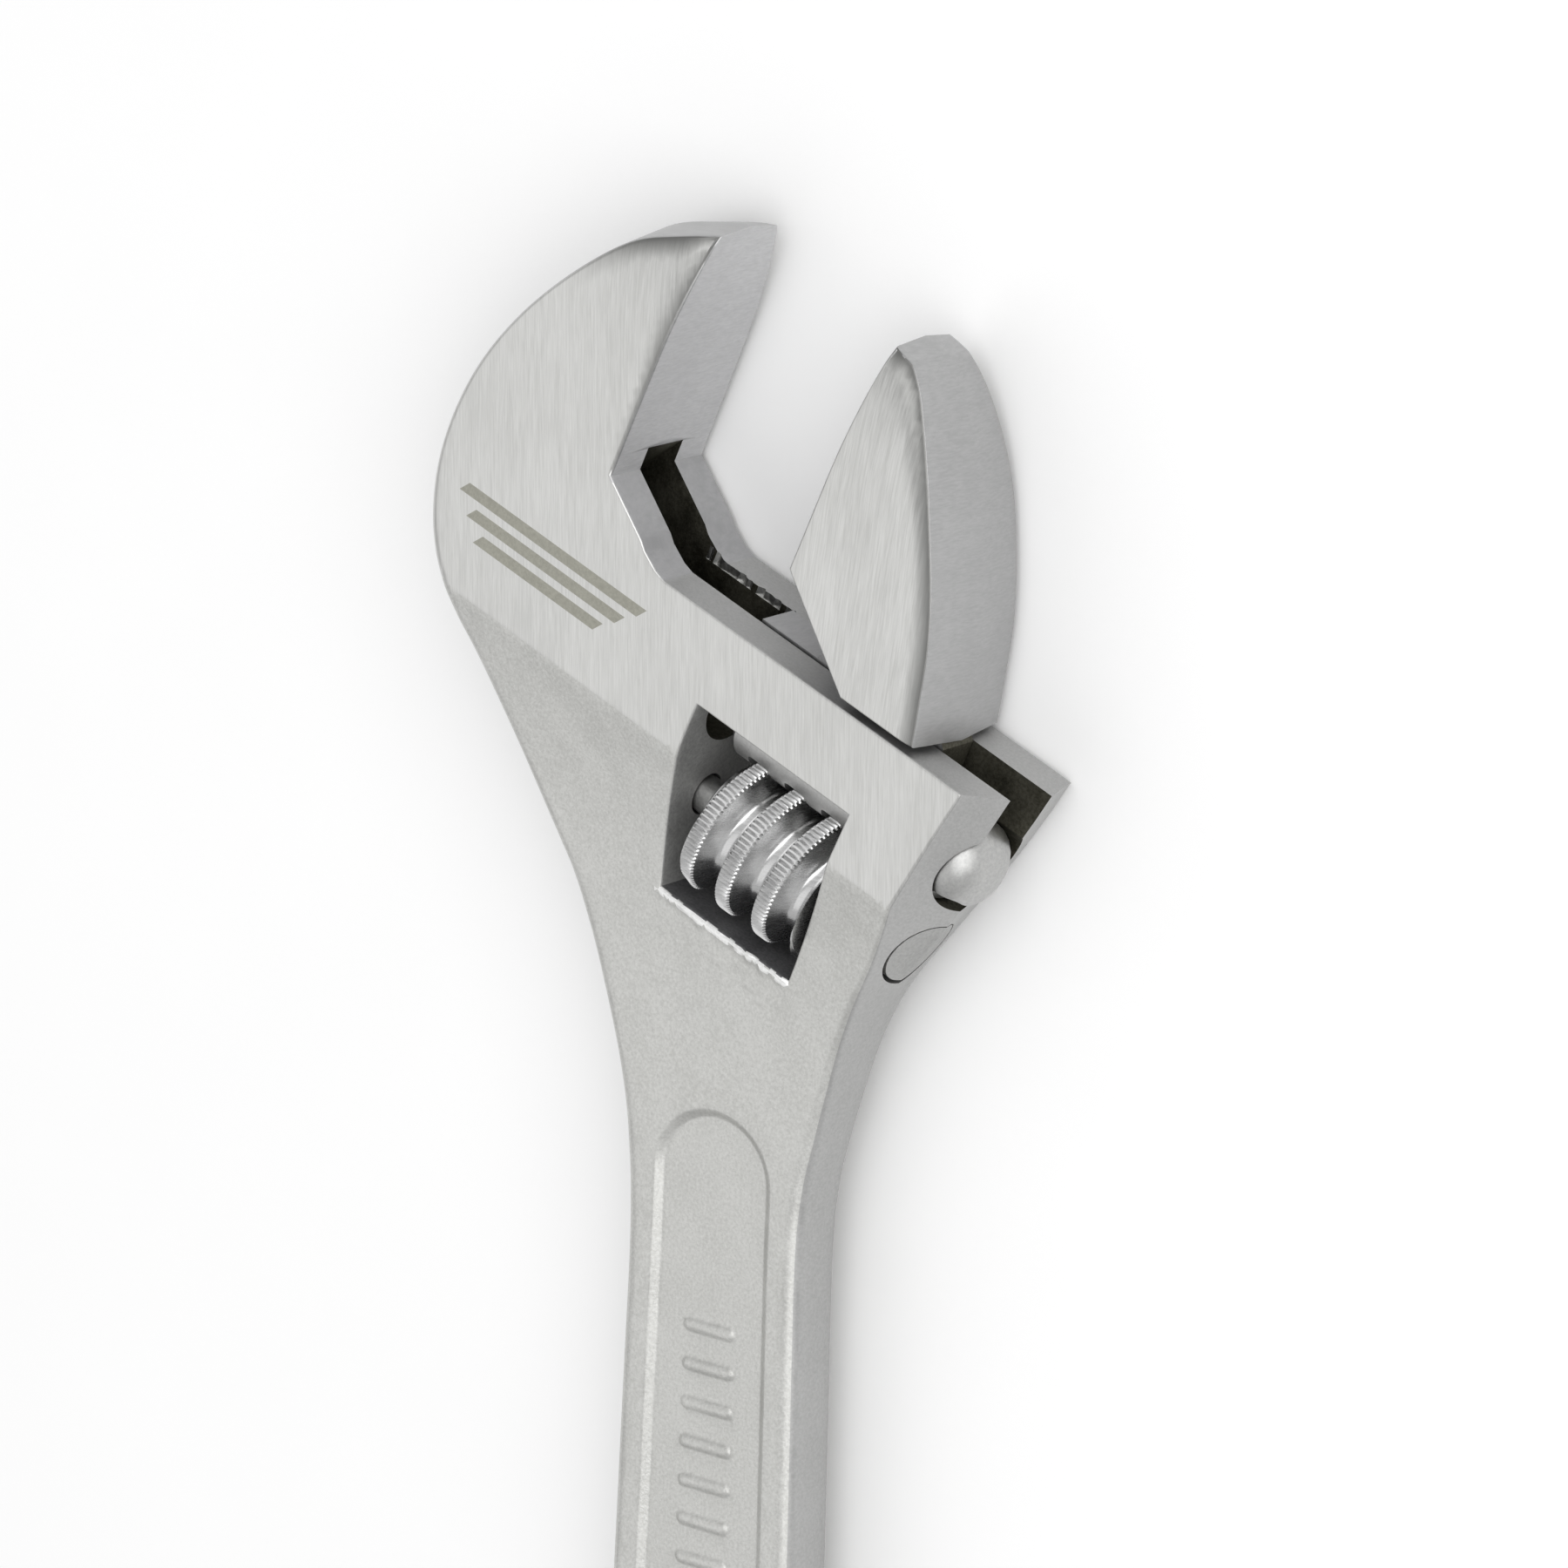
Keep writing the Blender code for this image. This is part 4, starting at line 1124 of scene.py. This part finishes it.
def jaw_rim():
    """The movable jaw's outer rim, measured from its own face, counter-clockwise from its foot to its tip."""
    points = [
        (20.9, -12.0, *JAW_EDGE),
        (21.6, -6.0, *JAW_EDGE),
        (JAW_FOOT_WIDTH, 0.0, *JAW_EDGE),
        (20.0, 6.0, *JAW_EDGE),
        (18.3, 12.0, *JAW_EDGE),
        (15.4, 18.6, *JAW_EDGE),
        (11.4, 25.6, *JAW_EDGE),
        (6.4, JAW_TIP - 2.4, *JAW_EDGE),
        (2.4, JAW_TIP + 0.6, *JAW_EDGE),
        (-0.6, JAW_TIP + 0.8, *JAW_EDGE),
        (-5.0, JAW_TIP - 0.4, *JAW_EDGE),
    ]
    rim = spline(points, OUTLINE_STEP * 0.8)
    return cut_chain(rim, lambda p: min(p[1] - JAW_FOOT, p[0]))


JAW_RIM = tied(jaw_rim(), CORNER_REACH)
JAW_RIM_LINE = np.array([(p[0], p[1]) for p in JAW_RIM])


def jaw_edge_shade(places):
    """Painted shade, from 0 to 1: beside the movable jaw's outer rim."""
    own = places - (JAW_OPENING, 0.0)
    return np.clip(1 - (distance(own, JAW_RIM_LINE, closed=False) - EDGE_SHADE_START) / EDGE_SHADE_WIDTH, 0.0, 1.0)


def jaw_height(places):
    y = places[:, 1]
    rim = distance(places, JAW_RIM_LINE, closed=False)
    height = tip_height(y) - 0.75 * np.clip(1 - rim / 3.2, 0.0, 1.0) ** 2
    return height - 0.12 * np.clip(1 - places[:, 0] / 1.2, 0.0, 1.0) ** 2 * (y > JAW_INNER_CORNER)


def rack_cutter():
    """The gaps between the slide's teeth: ridges at the thread's slope, with rounded floors."""
    bm = bmesh.new()
    slope = PITCH / (2 * math.pi * (WORM_RADIUS - GAP))
    top = WORM_Y + WORM_RADIUS + GAP
    bottom = BORE_Y - BORE_RADIUS - 2.0
    rise = (THREAD_BASE - CREST_WIDTH) / 2 / (WORM_RADIUS - WORM_ROOT)
    half_top = CREST_WIDTH / 2 + BACKLASH
    half_bottom = half_top + rise * (top - bottom)
    reach = BORE_RADIUS + GAP
    crest = THREAD_FIRST + PITCH / 4 - JAW_OPENING
    first = math.ceil((RACK_START - half_bottom - crest) / PITCH)
    last = math.floor((RACK_END + half_bottom - crest) / PITCH)
    rounding = 0.5
    section = [(-half_bottom, bottom)]
    section += [(half_bottom, bottom)]
    for index in range(5):
        turn = math.pi / 2 * index / 4
        section.append((half_top - rounding * (1 - math.cos(turn)), top - rounding * (1 - math.sin(turn))))
    for index in range(5):
        turn = math.pi / 2 * (1 - index / 4)
        section.append((-half_top + rounding * (1 - math.cos(turn)), top - rounding * (1 - math.sin(turn))))
    for tooth in range(first, last + 1):
        middle = crest + PITCH * tooth
        loops = [
            [bm.verts.new((middle - slope * z + x, y, z)) for x, y in section] for z in (-reach, reach)
        ]
        bm.faces.new(loops[0])
        bm.faces.new(loops[1])
        join_rings(bm, loops[0], loops[1])
    return bm


def jaw_material(place, normal):
    """Index into the movable jaw's materials for each face, by its place in the jaw frame."""
    x, y, z = place.T
    x = x - JAW_OPENING
    look = {name: index for index, name in enumerate(JAW_LOOKS)}
    # painted shade: the movable jaw's sideways faces default to the darker rim chrome
    index = np.full(len(x), look["rim"])
    index[(x < 0.02) | (normal[:, 0] < -0.5) | (normal[:, 1] < -0.5)] = look["milled"]
    index[np.abs(normal[:, 2]) > 0.8] = look["jaw_ground"]
    slide = y < JAW_FOOT - 0.02
    index[slide] = look["slide"]
    neck = slide & (y > BORE_Y + SLIDE_RADIUS) & (np.abs(z) < SLOT_HALF)
    index[neck] = look["milled"]
    # painted shade: the neck under the jaw's foot, seen through the gap, takes the near-black steel
    index[neck & (x > JAW_FOOT_START)] = look["dark"]
    return index


def build_movable_jaw():
    crisp = (0.0, 0.0, CRISP)
    foot = (JAW_RIM[0][0], JAW_FOOT)
    tip = (0.0, JAW_RIM[-1][1])
    outer = chained(
        JAW_RIM,
        straight(tip, (0.0, JAW_INNER_CORNER), crisp),
        straight((0.0, JAW_INNER_CORNER), (JAW_FOOT_START, JAW_FOOT), crisp),
        straight((JAW_FOOT_START, JAW_FOOT), foot, crisp),
    )
    grid = square_grid((-1.0, 0.0), (23.0, 36.0), HEAD_GRID * 0.8)
    plate = slab(outer, [], jaw_height, [], [(grid, HEAD_GRID * 0.8)])
    shift = (JAW_OPENING, 0.0, 0.0)
    for vert in plate.verts:
        vert.co.x += JAW_OPENING
    jaw = object_from(plate, "sliding_jaw", shift)
    half_neck = SLOT_HALF - GAP
    neck_top = JAW_FOOT + NECK_SINK
    right = JAW_FOOT_WIDTH - GAP
    corners = [
        (NECK_START, BORE_Y),
        (NECK_START, NECK_TOP),
        (NECK_SINK, NECK_TOP),
        (JAW_FOOT_START - NECK_SINK, neck_top),
        (JAW_FOOT_WIDTH - NECK_SINK, neck_top),
        (right, 0.0),
        (right, BORE_Y),
    ]
    bar = [
        (RACK_START, SLIDE_RADIUS - 0.75), (RACK_START + 0.75, SLIDE_RADIUS), (RACK_END - 3.6, SLIDE_RADIUS),
        (RACK_END - 2.8, SLIDE_RADIUS - 0.12), (RACK_END - 2.0, SLIDE_RADIUS - 0.5),
        (RACK_END - 1.3, SLIDE_RADIUS - 1.1), (RACK_END - 0.7, SLIDE_RADIUS - 1.9),
        (RACK_END - 0.25, SLIDE_RADIUS - 3.0), (RACK_END, SLIDE_RADIUS - 4.3),
    ]

    def at_jaw(bm):
        bmesh.ops.translate(bm, vec=(JAW_OPENING, 0, 0), verts=bm.verts)
        return bm

    combine(jaw, [
        ("UNION", object_from(at_jaw(prism(corners, -half_neck, half_neck)), "neck", shift)),
        ("UNION", object_from(at_jaw(turned(bar, BORE_Y)), "bar", shift)),
        ("DIFFERENCE", object_from(at_jaw(rack_cutter()), "rack", shift)),
    ])
    finish_piece(
        jaw, JAW_LOOKS, jaw_material, "movable_jaw", "movable_jaw", edge_shade=jaw_edge_shade
    )


# ---------------------------------------------------------------- worm, pin and spring


def thread_section(tooth):
    """One pitch of the thread as (x, radius): half a groove, flank, crest, flank and half a groove.

    tooth is 0 in a notch of the serration and 1 on a ridge.
    """
    crest = WORM_RADIUS - SERRATION_DEPTH * (1 - tooth)
    half = CREST_WIDTH / 2
    foot = THREAD_BASE / 2
    flank = []
    for index in range(GROOVE_STEPS):
        share = index / (GROOVE_STEPS - 1)
        flank.append((PITCH / 2 + (foot - PITCH / 2) * share, WORM_ROOT - 0.1 + 0.45 * share ** 4))
    flank += [
        (half + 0.42, WORM_RADIUS - 1.5),
        (half + 0.2, WORM_RADIUS - 0.8),
        (half + 0.1, WORM_RADIUS - 0.38),
        (half - 0.08, crest - 0.06),
        (half - 0.3, crest),
    ]
    return [(-x, radius) for x, radius in flank] + [(x, radius) for x, radius in reversed(flank)]


def worm_envelope(x):
    """The greatest radius at a place along the worm, with its chamfered ends."""
    from_end = max(min(x - WORM_START, WORM_END - x), 0.0)
    return WORM_RADIUS - WORM_CHAMFER + min(from_end * 1.1, WORM_CHAMFER)


def threaded_barrel():
    """The thread as one helical strip, whose turns meet in the middle of the groove, cut off at both ends."""
    bm = bmesh.new()
    first = (WORM_START - PITCH - THREAD_FIRST) / PITCH
    last = (WORM_END + PITCH - THREAD_FIRST) / PITCH
    per_turn = SERRATIONS * len(SERRATION)
    sections = [thread_section(tooth) for tooth in SERRATION]
    lower = None
    for index in range(round((last - first) * per_turn) + 1):
        turn = first + index / per_turn
        angle = 2 * math.pi * turn
        upper = []
        for x, radius in sections[index % len(SERRATION)]:
            x += THREAD_FIRST + PITCH * turn
            radius = min(radius, worm_envelope(x))
            upper.append(bm.verts.new((x, WORM_Y + radius * math.sin(angle), radius * math.cos(angle))))
        if lower:
            for start in range(len(upper) - 1):
                bm.faces.new((lower[start], lower[start + 1], upper[start + 1], upper[start]))
        lower = upper
    bmesh.ops.remove_doubles(bm, verts=bm.verts, dist=1e-4)
    for place, direction in ((WORM_START, -1), (WORM_END, 1)):
        bmesh.ops.bisect_plane(
            bm, geom=bm.verts[:] + bm.edges[:] + bm.faces[:], dist=1e-5,
            plane_co=(place, 0, 0), plane_no=(direction, 0, 0), clear_outer=True,
        )
    return bm


def circle(bm, x, radius, steps=64):
    verts = [
        bm.verts.new((
            x,
            WORM_Y + radius * math.cos(2 * math.pi * index / steps),
            radius * math.sin(2 * math.pi * index / steps),
        ))
        for index in range(steps)
    ]
    return verts, [bm.edges.new((verts[i], verts[(i + 1) % steps])) for i in range(steps)]


def build_worm():
    bm = threaded_barrel()
    mouth, mouth_edges = circle(bm, WORM_START, COUNTERBORE_RADIUS)
    floor, _ = circle(bm, COUNTERBORE_END, COUNTERBORE_RADIUS)
    step, _ = circle(bm, COUNTERBORE_END, PIN_RADIUS + 0.2)
    end, end_edges = circle(bm, WORM_END, PIN_RADIUS + 0.2)
    for lower, upper in ((mouth, floor), (floor, step), (step, end)):
        join_rings(bm, lower, upper)
    for place, circle_edges in ((WORM_START, mouth_edges), (WORM_END, end_edges)):
        rim = [
            edge for edge in bm.edges
            if edge.is_boundary and edge not in circle_edges
            and all(abs(vert.co.x - place) < 1e-3 for vert in edge.verts)
        ]
        bmesh.ops.triangle_fill(bm, edges=rim + circle_edges, use_beauty=True, normal=(1, 0, 0))
    worm = object_from(bm, "knurled_worm", ((WORM_START + WORM_END) / 2, WORM_Y, 0.0))
    finish_piece(worm, ["bright"], one_material, "worm", "worm", 24)


def build_pin():
    profile = [
        (PIN_START, PIN_RADIUS - 0.4), (PIN_START + 0.4, PIN_RADIUS), (PIN_HEAD_START, PIN_RADIUS),
        (PIN_HEAD_START, PIN_HEAD_RADIUS), (REACH, PIN_HEAD_RADIUS),
    ]
    pin = object_from(turned(profile, WORM_Y, 64), "pivot_pin")
    flush = slab(body_outer(), [], body_height, [], [(square_grid((36, -46), (58, 0), 2.0), 2.0)])
    combine(pin, [("INTERSECT", object_from(flush, "flush"))])
    finish_piece(pin, ["pin"], one_material, "wrench_body", "worm_pin")


def build_spring():
    steps, sides = 32, 12
    count = round(SPRING_TURNS * steps)
    first = SPRING_START + SPRING_WIRE / 2
    last = COUNTERBORE_END - GAP - SPRING_WIRE / 2
    bm = bmesh.new()
    rings = []
    for index in range(count + 1):
        turn = 2 * math.pi * index / steps
        x = first + (last - first) * float(ease(index / count))
        ring = []
        for side in range(sides):
            angle = 2 * math.pi * side / sides
            radius = SPRING_RADIUS + SPRING_WIRE / 2 * math.sin(angle)
            ring.append(bm.verts.new((
                x + SPRING_WIRE / 2 * math.cos(angle),
                WORM_Y + radius * math.cos(turn),
                radius * math.sin(turn),
            )))
        rings.append(ring)
    for lower, upper in zip(rings, rings[1:]):
        join_rings(bm, lower, upper)
    bm.faces.new(rings[0])
    bm.faces.new(rings[-1])
    spring = object_from(bm, "coil_spring")
    finish_piece(spring, ["wire"], one_material, "wrench_body", "worm_spring", 60)


# ---------------------------------------------------------------- stage, light and camera


def build_floor():
    lowest = CAD_BOX[0][2]
    mesh = bpy.data.meshes.new("floor")
    reach = 3.0
    mesh.from_pydata(
        [(-reach, -reach, lowest), (reach, -reach, lowest), (reach, reach, lowest), (-reach, reach, lowest)],
        [], [(0, 1, 2, 3)],
    )
    floor = bpy.data.objects.new("floor", mesh)
    bpy.context.scene.collection.objects.link(floor)
    look = Surface("pale_floor", 0.0)
    look.shader.inputs["Roughness"].default_value = 0.9
    look.shader.inputs["Specular IOR Level"].default_value = 0.1
    shade = look.stretched_noise(0.0, (40.0, 40.0, 40.0), 3.0, 0.5)
    look.drive("Base Color", look.mixed(shade, grey(0.95), grey(0.97)))
    mesh.materials.append(look.material)


def area_light(name, place, target, size, power, size_y=None):
    data = bpy.data.lights.new(name, "AREA")
    data.energy = power
    data.size = size
    if size_y:
        data.shape = "RECTANGLE"
        data.size_y = size_y
    light = bpy.data.objects.new(name, data)
    bpy.context.scene.collection.objects.link(light)
    light.location = place
    light.rotation_euler = (Vector(target) - Vector(place)).to_track_quat("-Z", "Y").to_euler()
    return light


def build_light():
    world = bpy.data.worlds.new("studio")
    bpy.context.scene.world = world
    world.use_nodes = True
    background = world.node_tree.nodes["Background"]
    background.inputs["Color"].default_value = (1.0, 1.0, 1.0, 1.0)
    background.inputs["Strength"].default_value = 0.6
    area_light("left_softbox", (-0.33, 0.75, 1.02), (0, 0, 0), 1.3, 2.0, 1.1)
    area_light("front_softbox", (0.33, -0.74, 1.02), (0, 0, 0), 2.0, 13.0, 1.4)


def build_camera():
    data = bpy.data.cameras.new("camera")
    data.sensor_width = 36.0
    data.lens = 157.91
    data.clip_start = 0.01
    camera = bpy.data.objects.new("camera", data)
    bpy.context.scene.collection.objects.link(camera)
    right = Vector((0.03791, -0.80667, -0.58979))
    up = Vector((0.96746, 0.17739, -0.18044))
    back = Vector((0.25018, -0.56375, 0.78714))
    turn = Matrix((right, up, back)).transposed().to_4x4()
    camera.matrix_world = Matrix.Translation((0.160794, -0.396297, 0.554927)) @ turn
    bpy.context.scene.camera = camera


build_body()
build_movable_jaw()
build_worm()
build_pin()
build_spring()
build_floor()
build_light()
build_camera()
bpy.context.scene.view_settings.view_transform = "Standard"
bpy.context.view_layer.update()
